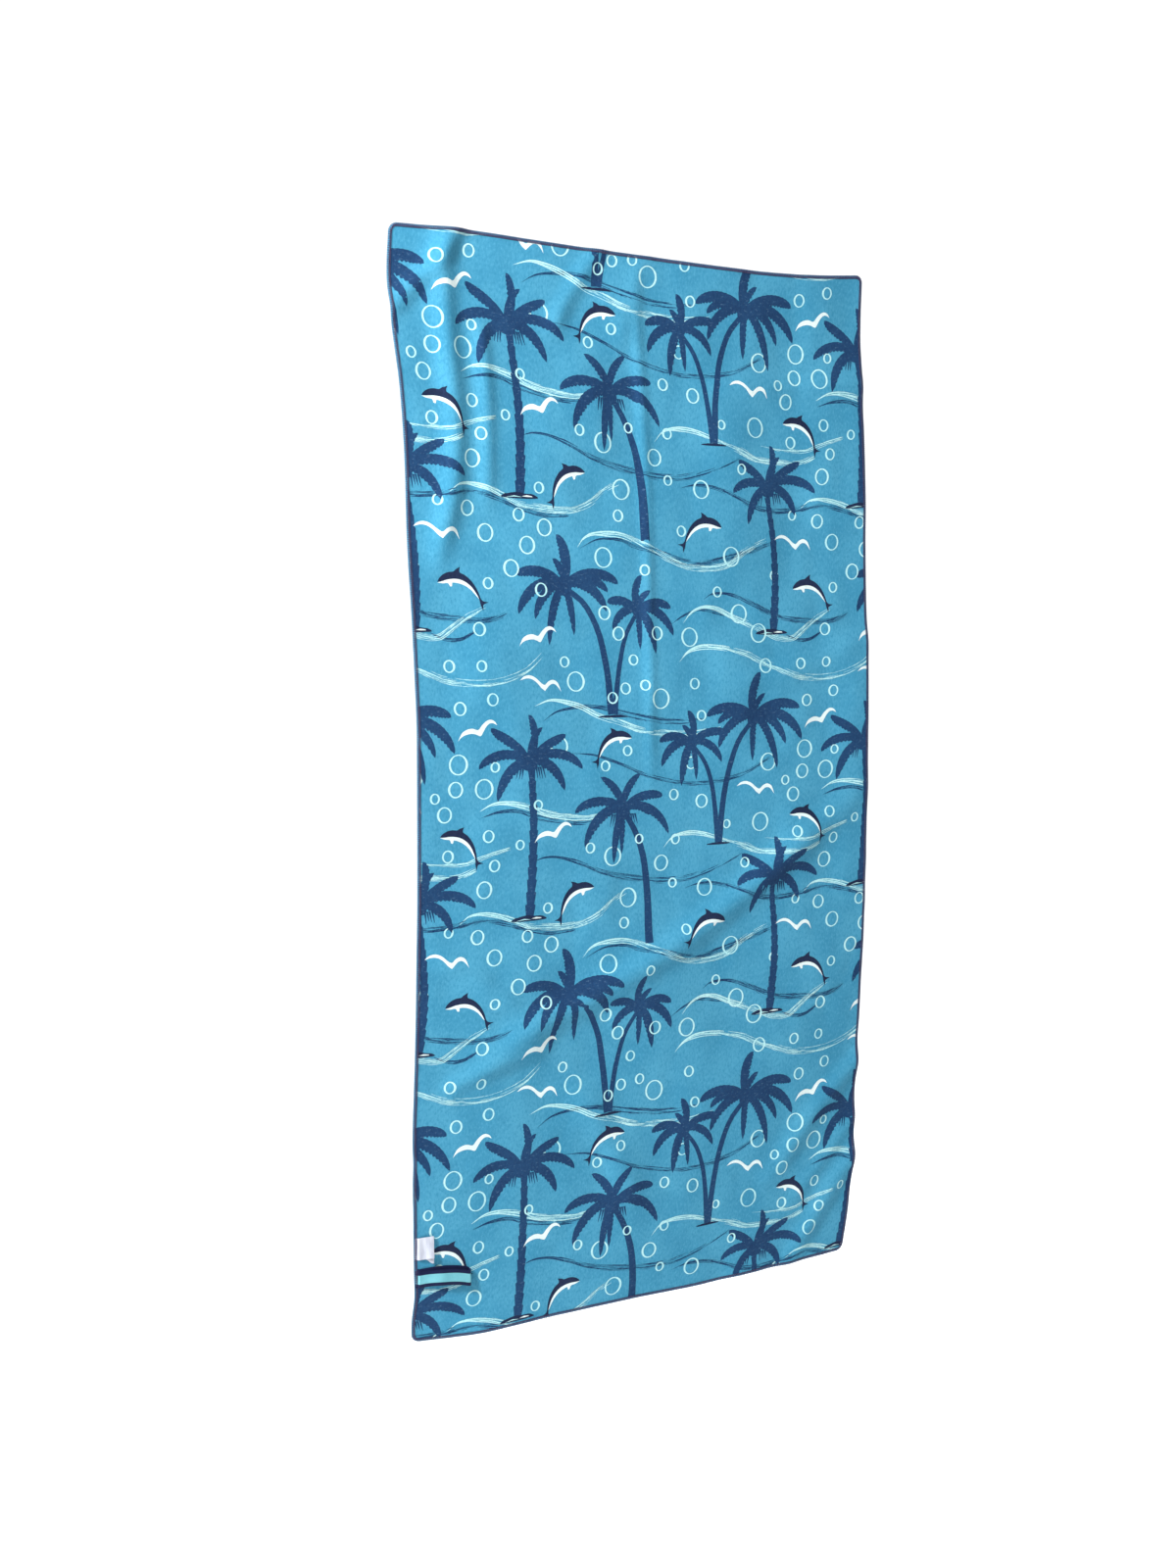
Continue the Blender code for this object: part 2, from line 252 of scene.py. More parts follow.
class Nodes:
    """A short way to write a node tree."""

    def __init__(self, name):
        self.m = bpy.data.materials.new(name)
        self.m.use_nodes = True
        self.t = self.m.node_tree
        self.p = self.t.nodes["Principled BSDF"]

    def add(self, kind, **inputs):
        n = self.t.nodes.new(kind)
        for key, value in inputs.items():
            if key.startswith("_"):
                setattr(n, key[1:], value)
            else:
                self.put(n.inputs[key.replace("__", " ")], value)
        return n

    def put(self, socket, value):
        if isinstance(value, bpy.types.NodeSocket):
            self.t.links.new(value, socket)
        else:
            socket.default_value = value

    def uv(self, scale=(1, 1, 1), rotation=0.0, location=(0, 0, 0)):
        n = self.add("ShaderNodeUVMap", _uv_map="flat")
        m = self.add("ShaderNodeMapping", Vector=n.outputs[0], Scale=scale,
                     Rotation=(0, 0, rotation), Location=location)
        return m.outputs[0]

    def noise(self, vector, scale, detail=3.0, rough=0.5):
        return self.add("ShaderNodeTexNoise", Vector=vector, Scale=scale, Detail=detail,
                        Roughness=rough).outputs["Fac"]

    def mix(self, a, b, fac):
        n = self.add("ShaderNodeMix", _data_type="RGBA")
        self.put(n.inputs[0], fac)
        self.put(n.inputs[6], a)
        self.put(n.inputs[7], b)
        return n.outputs[2]

    def ramp(self, value, low, high):
        n = self.add("ShaderNodeMapRange", Value=value)
        n.inputs["From Min"].default_value = low
        n.inputs["From Max"].default_value = high
        n.interpolation_type = "SMOOTHSTEP"
        return n.outputs[0]

    def math(self, op, a, b=0.5):
        n = self.add("ShaderNodeMath", _operation=op)
        self.put(n.inputs[0], a)
        self.put(n.inputs[1], b)
        return n.outputs[0]

    def bump(self, height, distance, strength=1.0, normal=None):
        n = self.add("ShaderNodeBump", Height=height, Distance=distance, Strength=strength)
        if normal is not None:
            self.put(n.inputs["Normal"], normal)
        return n.outputs[0]


def cloth_material(name, dark, base, light, sheen=0.25, speck=None, speck_amount=0.0):
    """Suede microfibre: soft mottling, brushed nap, and the knit just showing through."""
    n = Nodes(name)
    broad = n.noise(n.uv((1.0, 0.8, 1)), 14.0, 4.0, 0.55)
    nap = n.noise(n.uv((1.0, 0.55, 1), 0.35), 300.0, 4.0, 0.62)
    fine = n.noise(n.uv(), 1500.0, 2.0, 0.6)
    tone = n.mix(base, n.mix(dark, light, n.ramp(broad, 0.30, 0.70)), 0.45)
    tone = n.mix(tone, light, n.math("MULTIPLY", n.ramp(nap, 0.50, 0.68), 0.55))
    tone = n.mix(tone, dark, n.math("MULTIPLY", n.ramp(nap, 0.50, 0.34), 0.65))
    tone = n.mix(tone, dark, n.math("MULTIPLY", n.ramp(fine, 0.50, 0.70), 0.55))
    if speck is not None:
        flecks = n.noise(n.uv((1.0, 2.2, 1), 0.6), 150.0, 3.0, 0.7)
        tone = n.mix(tone, speck, n.math("MULTIPLY", n.ramp(flecks, 0.57, 0.68), speck_amount))
    n.put(n.p.inputs["Base Color"], tone)
    rough = n.math("ADD", n.math("MULTIPLY", nap, 0.14), 0.80)
    n.put(n.p.inputs["Roughness"], rough)
    knit = n.add("ShaderNodeTexWave", Vector=n.uv(), Scale=380.0, Distortion=1.2,
                 Detail=1.0, _bands_direction="X").outputs["Fac"]
    height = n.math("ADD", n.math("MULTIPLY", fine, 0.6),
                    n.math("ADD", n.math("MULTIPLY", nap, 1.0), n.math("MULTIPLY", knit, 0.12)))
    n.put(n.p.inputs["Normal"], n.bump(height, 0.00030, 0.9))
    n.p.inputs["Specular IOR Level"].default_value = 0.22
    n.p.inputs["Sheen Weight"].default_value = sheen
    n.p.inputs["Sheen Roughness"].default_value = 0.45
    n.p.inputs["Sheen Tint"].default_value = light
    return n.m


GROUND = cloth_material("microfibre_ground", srgb(50, 132, 168), srgb(68, 151, 186),
                        srgb(88, 168, 200), 0.16)
BACK = cloth_material("microfibre_back", srgb(128, 178, 200), srgb(150, 196, 214),
                      srgb(170, 211, 226), 0.16)
BACK_PRINT = cloth_material("microfibre_back_strike_through", srgb(96, 144, 176),
                            srgb(110, 157, 186), srgb(126, 170, 197), 0.16)
INK_NAVY = cloth_material("ink_navy", srgb(18, 50, 88), srgb(25, 62, 102), srgb(34, 76, 118),
                          0.16, srgb(84, 118, 150), 0.55)
INK_DARK = cloth_material("ink_dark_navy", srgb(18, 30, 58), srgb(25, 38, 68), srgb(36, 50, 82),
                          0.16)
INK_WHITE = cloth_material("ink_white", srgb(212, 232, 234), srgb(228, 244, 243),
                           srgb(240, 250, 250), 0.08)
INK_PALE = cloth_material("ink_pale_mint", srgb(158, 216, 226), srgb(184, 234, 237),
                          srgb(208, 246, 245), 0.08)


def thread_material():
    """Textured polyester: twisted filaments along the strand."""
    n = Nodes("overlock_thread_navy")
    twist = n.add("ShaderNodeTexWave", Vector=n.uv((1, 1, 1), 0.0), Scale=1.0, Distortion=1.0,
                  Detail=1.0, _bands_direction="DIAGONAL").outputs["Fac"]
    tint = n.noise(n.uv((0.11, 0.2, 1)), 9.0, 3.0, 0.6)
    tone = n.mix(srgb(30, 26, 64), srgb(54, 48, 98), n.ramp(tint, 0.32, 0.70))
    tone = n.mix(tone, srgb(76, 68, 120), n.math("MULTIPLY", twist, 0.25))
    n.put(n.p.inputs["Base Color"], tone)
    n.put(n.p.inputs["Roughness"], n.math("ADD", n.math("MULTIPLY", twist, 0.15), 0.55))
    n.put(n.p.inputs["Normal"], n.bump(twist, 0.00010, 0.7))
    n.p.inputs["Sheen Weight"].default_value = 0.25
    n.p.inputs["Sheen Roughness"].default_value = 0.4
    return n.m


def webbing_material(name, dark, light):
    """Plain woven webbing: ribs across the tape and warp threads along it."""
    n = Nodes(name)
    ribs = n.add("ShaderNodeTexWave", Vector=n.uv(), Scale=250.0, Distortion=0.25, Detail=1.0,
                 _bands_direction="X").outputs["Fac"]
    warp = n.add("ShaderNodeTexWave", Vector=n.uv(), Scale=420.0, Distortion=0.3, Detail=1.0,
                 _bands_direction="Y").outputs["Fac"]
    fuzz = n.noise(n.uv(), 900.0, 3.0, 0.6)
    broad = n.noise(n.uv(), 55.0, 3.0, 0.5)
    weave = n.math("MULTIPLY", ribs, warp)
    tone = n.mix(dark, light, n.ramp(n.math("ADD", n.math("MULTIPLY", weave, 0.6),
                                            n.math("MULTIPLY", broad, 0.6)), 0.10, 0.75))
    tone = n.mix(tone, dark, n.math("MULTIPLY", n.ramp(fuzz, 0.5, 0.8), 0.35))
    n.put(n.p.inputs["Base Color"], tone)
    n.put(n.p.inputs["Roughness"], n.math("ADD", n.math("MULTIPLY", fuzz, 0.2), 0.60))
    height = n.math("ADD", n.math("MULTIPLY", weave, 1.0), n.math("MULTIPLY", fuzz, 0.25))
    n.put(n.p.inputs["Normal"], n.bump(height, 0.00030, 0.8))
    n.p.inputs["Sheen Weight"].default_value = 0.06
    n.p.inputs["Sheen Roughness"].default_value = 0.4
    n.p.inputs["Specular IOR Level"].default_value = 0.25
    return n.m


WEB_MINT = webbing_material("webbing_mint", srgb(98, 176, 192), srgb(134, 208, 218))
WEB_NAVY = webbing_material("webbing_navy", srgb(2, 10, 48), srgb(8, 24, 72))


def satin_material():
    n = Nodes("label_satin_white")
    floats = n.add("ShaderNodeTexWave", Vector=n.uv(), Scale=1150.0, Distortion=0.6, Detail=1.0,
                   _bands_direction="Y").outputs["Fac"]
    broad = n.noise(n.uv((1, 0.25, 1)), 110.0, 3.0, 0.5)
    tone = n.mix(srgb(182, 187, 203), srgb(212, 217, 228), n.ramp(broad, 0.30, 0.62))
    tone = n.mix(tone, srgb(172, 176, 198), n.math("MULTIPLY", floats, 0.25))
    n.put(n.p.inputs["Base Color"], tone)
    n.put(n.p.inputs["Roughness"], n.math("ADD", n.math("MULTIPLY", floats, 0.14), 0.34))
    n.put(n.p.inputs["Normal"], n.bump(floats, 0.00006, 0.6))
    n.p.inputs["Anisotropic"].default_value = 0.4
    n.p.inputs["Sheen Weight"].default_value = 0.1
    return n.m


THREAD = thread_material()
SATIN = satin_material()

# =====================================================================================
# The print: generic palms, dolphins, gulls, bubbles and brushed waves on a straight repeat.
# Everything is in millimetres of flat cloth within one repeat; v runs down.
# =====================================================================================
REPEAT = 612.0
BUBBLES = (
    (68, 39, 10.1), (120, 27, 9.5), (262, 2, 15.1), (347, 13, 9.2), (324, 27, 9.0), (380, 8, 8.4),
    (407, 29, 16.0), (63, 119, 15.1), (58, 155, 12.0), (104, 156, 15.1), (25, 167, 8.1),
    (40, 191, 12.0), (308, 130, 8.4), (347, 108, 8.4), (192, 184, 7.8), (110, 226, 9.5),
    (46, 252, 9.5), (120, 270, 9.2), (104, 304, 12.9), (281, 254, 8.4), (367, 245, 7.8),
    (408, 285, 12.9), (210, 339, 8.4), (349, 334, 15.1), (342, 372, 9.0), (94, 372, 11.2),
    (176, 378, 9.8), (217, 394, 12.6), (122, 405, 12.9), (188, 420, 12.9), (469, 6, 9.0),
    (481, 56, 8.7), (430, 179, 9.0), (481, 191, 11.2), (591, 231, 15.4), (433, 249, 8.4),
    (562, 294, 8.4), (430, 317, 7.8), (488, 327, 14.0), (451, 390, 8.4), (123, 475, 8.4),
    (208, 482, 10.1), (161, 453, 12.6), (314, 433, 15.1), (384, 449, 8.4), (314, 513, 10.6),
    (337, 543, 10.6), (105, 539, 10.1), (55, 591, 9.2), (105, 591, 8.4), (244, 585, 8.4),
    (362, 582, 8.4), (403, 542, 10.6), (513, 478, 8.4), (552, 511, 14.8), (588, 541, 15.1),
    (539, 425, 15.1), (461, 547, 14.8), (600, 592, 11.8),
)
BUBBLES_BEHIND = (
    (229, 98, 15.1), (122, 125, 7.8), (320, 269, 15.1), (48, 362, 7.8), (461, 130, 10.1),
    (604, 135, 14.6), (528, 230, 7.3), (9, 453, 8.4), (162, 242, 7.8),
)
# crown or trunk points of each palm: (crown, fronds as (dx, dy, width), trunk points, trunk
# half widths at its top and foot, notched trunk or not, hanging spikes or not)
PALMS = (
    ((179, 121), ((-63, -53, 15), (-1, -71, 13), (22, -52, 11), (61, -41, 14), (89, 12, 15),
                  (58, 43, 16), (-53, 55, 17), (-83, 6, 15)),
     ((181, 130), (184, 200), (183, 280), (179, 351)), 5.2, 7.4, True, True),
    ((338, 199), ((-39, -52, 14), (31, -55, 13), (71, -19, 15), (82, 41, 15), (-2, 67, 10),
                  (-16, 81, 13), (-66, 54, 17), (-83, 1, 15), (-36, -18, 11), (46, 10, 12)),
     ((341, 204), (358, 230), (374, 270), (383, 325), (386, 407)), 4.4, 7.0, False, True),
    ((578, 62), ((-87, -4, 17), (-67, 8, 14), (-66, 46, 16), (12, -72, 17), (22, -38, 11),
                 (87, -11, 17), (91, 41, 18), (60, 46, 15), (43, 84, 15), (-3, 70, 12)),
     ((574, 68), (552, 92), (535, 130), (522, 185), (514, 258)), 4.2, 5.6, False, False),
    ((463, 100), ((-7, -52, 13), (-17, -29, 10), (-58, -3, 14), (-55, 35, 15), (-19, 66, 15),
                  (8, 57, 10), (54, 31, 13), (64, -15, 14)),
     ((466, 104), (484, 126), (498, 160), (506, 205), (511, 258)), 3.2, 4.6, False, False),
    ((612, 323), ((-55, -43, 14), (6, -66, 13), (24, -49, 11), (62, -42, 14), (90, 6, 15),
                  (53, 39, 15), (-39, 53, 15), (-66, 7, 14)),
     ((611, 335), (620, 395), (623, 450), (617, 537)), 4.6, 7.2, True, True),
    ((246, 476), ((-10, -73, 17), (-17, -39, 12), (-77, -14, 16), (-76, 41, 17), (-49, 48, 15),
                  (-27, 85, 14), (15, 70, 12), (71, 35, 16), (74, 7, 14), (92, -5, 16)),
     ((250, 480), (276, 497), (298, 530), (313, 585), (321, 664)), 4.2, 5.8, False, False),
    ((371, 509), ((8, -52, 13), (21, -30, 10), (-52, -11, 14), (-43, 29, 14), (3, 57, 10),
                  (28, 64, 15), (61, 36, 15), (58, -4, 14)),
     ((370, 512), (352, 540), (339, 585), (331, 630), (327, 664)), 3.2, 4.6, False, False),
)
GROUND_LINES = ((178, 354, 30, 6.5), (613, 542, 30, 6.5), (513, 261, 22, 3.0), (324, 668, 26, 3.0))
DOLPHINS = (((33, 223), (96, 267)), ((355, 88), (290, 126)), ((288, 313), (228, 361)),
            ((44, 474), (116, 505)), ((523, 382), (450, 413)))
GULLS_RISING = ((98, 77), (221, 233), (203, 555))
GULLS_LEVEL = ((53, 412), (208, 13), (588, 184))
# brushed waves: (ink, path, spread, strands, solid crest half width)
BRUSHED = (
    ("navy", ((203, 60), (223, 48), (254, 41), (293, 39), (332, 47), (363, 55), (422, 64),
              (475, 64), (517, 58)), 4.6, 20, 1.5),
    ("pale", ((189, 38), (214, 30), (242, 32), (270, 39), (296, 52), (333, 64), (366, 76),
              (422, 83), (474, 83), (520, 72)), 5.2, 22, 2.5),
    ("navy", ((250, 109), (289, 113), (336, 128), (373, 143), (419, 155), (461, 162), (512, 160),
              (557, 151), (612, 128)), 3.8, 15, 1.3),
    ("navy", ((99, 198), (127, 191), (160, 192), (187, 201), (231, 210), (270, 214), (303, 210)),
     4.2, 15, 1.4),
    ("pale", ((96, 189), (116, 181), (145, 179), (172, 185), (205, 197), (238, 204), (271, 207),
              (305, 205)), 5.2, 22, 2.5),
    ("navy", ((182, 270), (202, 264), (232, 266), (266, 276), (302, 292), (341, 302), (377, 308),
              (420, 313), (450, 312), (492, 303), (541, 285), (572, 272)), 4.8, 20, 1.7),
    ("pale", ((411, 262), (425, 248), (454, 240), (482, 242), (509, 250), (537, 259), (565, 268),
              (592, 278), (634, 282), (676, 282), (706, 272)), 5.4, 22, 2.3),
    ("pale", ((600, 258), (649, 264), (691, 263), (714, 256), (762, 245)), 3.2, 12, 0.7),
    ("navy", ((8, 359), (46, 357), (72, 353), (103, 349), (139, 356), (178, 368), (220, 376),
              (262, 374)), 4.6, 17, 1.0),
    ("pale", ((64, 352), (78, 342), (103, 339), (128, 343), (151, 352), (178, 362), (212, 367),
              (251, 368), (280, 362), (303, 350), (320, 336), (348, 323)), 5.0, 22, 2.2),
    ("navy", ((452, 327), (478, 321), (506, 322), (534, 330), (561, 341), (583, 349), (617, 355),
              (656, 354), (692, 346)), 4.0, 18, 1.5),
    ("navy", ((276, 421), (304, 408), (341, 407), (376, 417), (413, 424), (446, 433), (488, 436),
              (530, 427), (564, 419), (617, 405)), 4.8, 20, 1.2),
    ("pale", ((271, 420), (284, 406), (310, 399), (344, 399), (374, 408), (404, 421), (440, 436),
              (474, 442), (507, 442), (536, 435), (562, 418), (611, 398)), 5.4, 24, 2.7),
    ("navy", ((488, 490), (500, 483), (523, 480), (551, 485), (578, 496), (605, 509), (638, 519),
              (680, 524), (721, 527), (749, 522), (769, 512)), 5.0, 20, 1.5),
    ("navy", ((430, 528), (455, 513), (472, 507), (497, 507), (530, 514)), 2.6, 8, 1.0),
    ("navy", ((637, 543), (665, 553), (687, 552), (712, 541)), 3.4, 10, 0.8),
    ("pale", ((451, 526), (466, 510), (486, 502), (511, 503), (538, 514), (566, 525), (596, 537),
              (626, 549), (654, 550), (674, 538), (699, 522), (732, 506)), 4.4, 20, 2.2),
    ("pale", ((442, 585), (456, 571), (478, 562), (509, 561), (542, 567), (570, 575), (597, 587),
              (625, 597), (652, 608), (677, 613), (707, 616), (750, 612), (790, 598), (822, 572)),
     5.2, 24, 2.5),
)


def smooth_line(points, count):
    pts = np.array(points, float)
    d = np.r_[0, np.cumsum(np.linalg.norm(np.diff(pts, axis=0), axis=1))]
    t = np.linspace(0, d[-1], count)
    return np.stack([through(list(zip(d, pts[:, 0])), t), through(list(zip(d, pts[:, 1])), t)], 1)


def sides(line, half):
    """Outline of a line with a half width at each point."""
    tangent = np.gradient(line, axis=0)
    tangent /= np.linalg.norm(tangent, axis=1, keepdims=True) + 1e-9
    normal = np.stack([-tangent[:, 1], tangent[:, 0]], 1)
    a, b = half if isinstance(half, tuple) else (half, half)
    return np.r_[line + normal * a[:, None], (line - normal * b[:, None])[::-1]]


def frond(crown, dx, dy, width, rng):
    """A drooping leaf: thin at the crown, widest past its middle, with a toothed lower edge."""
    c = np.array(crown, float)
    length = math.hypot(dx, dy)
    out = abs(dx) / length
    if dy < -0.9 * abs(dx):                           # upright: leans, then curls over at the tip
        lean = 0.16 * length * (1 if dx <= 6 else -1)
        near = c + np.array([0.30 * dx + lean, 0.38 * dy])
        far = c + np.array([0.75 * dx + lean, 0.82 * dy])
    else:                                             # arches up and out, then droops
        rise = 0.30 * length * (0.35 + 0.65 * out)
        near = c + np.array([0.34 * dx, 0.22 * dy - rise])
        far = c + np.array([0.86 * dx, 0.50 * dy - 0.62 * rise])
    tip = c + np.array([dx, dy])
    teeth = max(6, int(length / 6.0))
    s = np.linspace(0, 1, 2 * teeth + 1)[:, None]
    line = ((1 - s) ** 3 * c + 3 * s * (1 - s) ** 2 * near + 3 * s * s * (1 - s) * far
            + s ** 3 * tip)
    s = s[:, 0]
    body = (0.16 + s) ** 0.85 * (1 - s) ** 0.62 / 0.487 * width * 0.56
    odd = np.arange(len(s)) % 2
    depth = 0.26 * (s > 0.15) * (0.6 + 0.8 * rng.random(len(s)))
    low = body * (1 - depth * odd)
    high = body * (1 - 0.07 * odd * (s > 0.3))
    low[-1] = high[-1] = 0.12
    return sides(line, (low, high) if dx > 0 else (high, low))


def blob(cx, cy, r, count, rng, rough=0.12):
    a = np.arange(count) * 2 * math.pi / count
    k = r * (1 + rough * (rng.random(count) - 0.5) * 2)
    return np.stack([cx + k * np.cos(a), cy + k * np.sin(a)], 1)


def palm(spec, seed):
    crown, fronds, trunk, top, foot, notched, spikes = spec
    rng = np.random.default_rng(seed)
    shapes = []
    count = 15 if not notched else 241
    line = smooth_line(trunk, count)
    half = np.linspace(top, foot, count)
    if notched:                                       # old leaf scars: each segment flares at its top
        k = np.arange(count)
        keep = (k % 20 == 0) | (k % 20 == 18)
        half = half * np.where(k % 20 < 9, 1.20, 0.86)
        line, half = line[keep], half[keep]
    else:
        half = half * (0.97 + 0.06 * rng.random(count))
    shapes.append(sides(line, half))
    small = len(fronds) == 8 and not spikes
    shapes.append(blob(crown[0], crown[1] + 1, 9.5 if small else 12.5, 16, rng))
    for dx, dy, w in fronds:
        shapes.append(frond(crown, dx, dy, w, rng))
    if spikes:
        for sx in (-19, -15, -11.5, 10, 13.5, 17, 21):
            x, y = crown[0] + sx, crown[1] + 6
            reach = 14 + 5 * rng.random()
            lean = 0.22 * sx
            shapes.append(np.array([[x - 1.7, y], [x + 1.7, y], [x + lean + 0.3, y + reach],
                                    [x + lean - 0.3, y + reach]]))
    return shapes


DOLPHIN_BACK = ((0, 0), (3, -3.4), (7, -6.2), (13, -8.6), (20, -9.4), (27, -8.6), (31, -10.6),
                (38.5, -12.6), (36.6, -8.4), (37.0, -5.0), (43, -0.6), (49, 6.4), (54, 16),
                (57, 27), (58.2, 35.5), (61.5, 39.4), (68.5, 42.0), (61.8, 43.0), (59.2, 44.4),
                (57.6, 51.5), (55.6, 43.6), (55.4, 35.0), (53, 26), (49, 17.4), (43, 9.8),
                (35, 4.0), (26, 1.0), (16, 0.0), (7, 0.6))
DOLPHIN_BELLY = ((0, 0.9), (7, 0.6), (16, 0.0), (26, 1.0), (35, 4.0), (43, 9.8), (49, 17.4),
                 (53, 26), (55.4, 35.0), (51.6, 28.4), (47, 20.8), (41, 14.4), (34, 9.6),
                 (27, 6.6), (22, 5.4), (20.4, 10.2), (17.6, 9.4), (15.4, 4.7), (8, 3.6))
GULL_RISING = ((-35, 8), (-29, -3), (-21, -8), (-12, -9.4), (-2.8, -7), (3.0, -13), (10, -19),
               (17, -21.4), (24, -18.8), (28, -13), (21.5, -16.2), (15.4, -15.6), (10, -10.8),
               (5, -3.4), (0.8, 1.8), (-7, -1.0), (-15, -2.0), (-25, 0.2), (-31, 3.8))
GULL_LEVEL = ((-42, -13), (-35.5, -18.4), (-26, -20.5), (-16, -17.2), (-6.4, -9.4), (0, -6.4),
              (6.4, -11.4), (15, -13.8), (23, -9.2), (28, 3.6), (22.8, -3.2), (17.4, -7.4),
              (10.8, -7.2), (5, -2.8), (0, 2.4), (-6.4, -2.2), (-13, -9.2), (-21.6, -14.6),
              (-31, -15.8))


def rounded(outline, per=3, sharp=0.30):
    """Softens an outline between its points, leaving its sharp tips sharp."""
    p = np.array(outline, float)
    n = len(p)
    out = []
    for i in range(n):
        a, b, c, d = p[i - 1], p[i], p[(i + 1) % n], p[(i + 2) % n]
        def turn(x, y, z):
            e, f = y - x, z - y
            return float(e @ f / (np.linalg.norm(e) * np.linalg.norm(f) + 1e-9))
        m1 = (c - a) / 2 if turn(a, b, c) > sharp else (c - b)
        m2 = (d - b) / 2 if turn(b, c, d) > sharp else (c - b)
        reach = np.linalg.norm(c - b)
        for m in (m1, m2):
            k = np.linalg.norm(m)
            if k > reach:
                m *= reach / k
        for j in range(per):
            s = j / per
            out.append(b * (1 + 2 * s) * (1 - s) ** 2 + m1 * s * (1 - s) ** 2
                       + c * s * s * (3 - 2 * s) + m2 * s * s * (s - 1))
    return np.array(out)


def dolphin(nose, tail):
    """The outline turned, and mirrored where it leaps to the right, so that it joins both points."""
    span = np.array([62.0, 44.0])
    to = np.array(tail, float) - np.array(nose, float)
    mirror = -1.0 if to[0] < 0 else 1.0
    to[0] *= mirror
    scale = np.linalg.norm(to) / np.linalg.norm(span)
    a = math.atan2(to[1], to[0]) - math.atan2(span[1], span[0])
    r = np.array([[math.cos(a), -math.sin(a)], [math.sin(a), math.cos(a)]]) * scale
    shapes = []
    for outline in (DOLPHIN_BACK, DOLPHIN_BELLY):
        p = rounded(outline) @ r.T
        p[:, 0] *= mirror
        shapes.append(p + np.array(nose, float))
    return shapes


def ring(cx, cy, r, seed):
    rng = np.random.default_rng(seed)
    count = 24 if r < 10 else 32
    a = np.arange(count) * 2 * math.pi / count
    outer = np.stack([cx + r * np.cos(a), cy + r * np.sin(a) * 0.99], 1)
    side, top = 2.9 + 0.02 * r, 1.8
    ox, oy = rng.uniform(-0.45, 0.45), rng.uniform(-0.3, 0.3)
    inner = np.stack([cx + ox + (r - side) * np.cos(a), cy + oy + (r - top) * np.sin(a)], 1)
    return outer, inner


def brushed(path, spread, strands, crest, seed):
    """A dry brush stroke: a pointed crest, then ragged strands that part, break up and fade."""
    rng = np.random.default_rng(seed)
    d = np.linalg.norm(np.diff(np.array(path, float), axis=0), axis=1).sum()
    count = max(30, int(d / 3.6))
    line = smooth_line(path, count)
    s = np.linspace(0, 1, count)
    tangent = np.gradient(line, axis=0)
    tangent /= np.linalg.norm(tangent, axis=1, keepdims=True)
    normal = np.stack([-tangent[:, 1], tangent[:, 0]], 1)
    shapes = []
    # two or three crest strokes that lie together at the start
    for k in range(3 if crest > 1.2 else 2):
        reach = min(0.60, rng.uniform(60, 120) / d)
        start = 0.0 if k == 0 else rng.uniform(0.01, 0.10)
        head = (s >= start) & (s <= start + reach)
        t = (s[head] - start) / reach
        t = np.clip(t, 0, 1)
        off = (-0.9 + 1.3 * k) * crest * (0.15 + 0.85 * ease(t / 0.5))
        half = (0.52 if k == 0 else 0.34) * crest * np.clip(t / 0.30, 0, 1) ** 0.8 * (
            1 - t) ** 0.5 * (0.86 + 0.28 * rng.random(head.sum())) + 0.07
        shapes.append(sides(line[head] + normal[head] * off[:, None], half))
    fan = spread * (0.16 + 0.84 * ease(s / 0.45)) * (1 - 0.30 * ease((s - 0.7) / 0.3))
    for k in range(int(strands * 1.7)):
        lane = rng.uniform(-1, 1)
        at = rng.uniform(0.03, 0.75)
        for _ in range(3):
            end = min(0.995, at + rng.uniform(14, 62) / d)
            inside = (s >= at) & (s <= end)
            m = int(inside.sum())
            if m >= 3:
                t = np.linspace(0, 1, m)
                wander = np.cumsum(rng.normal(0, 0.14, m))
                wander -= wander.mean()
                off = lane * fan[inside] + wander + rng.uniform(-1.2, 1.2) * (t - 0.5)
                wide = rng.uniform(0.13, 0.42) * np.sin(math.pi * (0.04 + 0.92 * t)) ** 0.5
                wide = wide * (0.45 + 1.1 * rng.random(m))
                wide[0] = wide[-1] = 0.05
                shapes.append(sides(line[inside] + normal[inside] * off[:, None], wide))
            at = end + rng.uniform(1, 26) / d
            if at > 0.95 or rng.random() < 0.25:
                break
    return shapes


# How the print's rows lie on this towel: (down the flat cloth, shift at the left edge, at the
# right edge, sideways shift left of the middle), all in millimetres.
ROWS = ((0, 0, 0, -1), (300, 1.5, 0, -2), (620, 1, -1, 0), (730, 0, -6, 2), (900, -3, -9, 2),
        (1000, -2, -8.5, 1), (1090, -3, -8, 1), (1180, -2, -3, 0), (1270, 1, 1, 0),
        (1365, 4, 5, -1), (1460, 10, 10, -6), (1600, 14, 12, -9))


def laid(p):
    u, v = p[:, 0], p[:, 1]
    column = [through([(r[0], r[k]) for r in ROWS], v) for k in (1, 2, 3)]
    across = np.clip(u / SQUARE_W, 0, 1)
    side = ease((0.66 - across) / 0.24)
    return np.stack([u + column[2] * side, v + column[0] * (1 - across) + column[1] * across], 1)


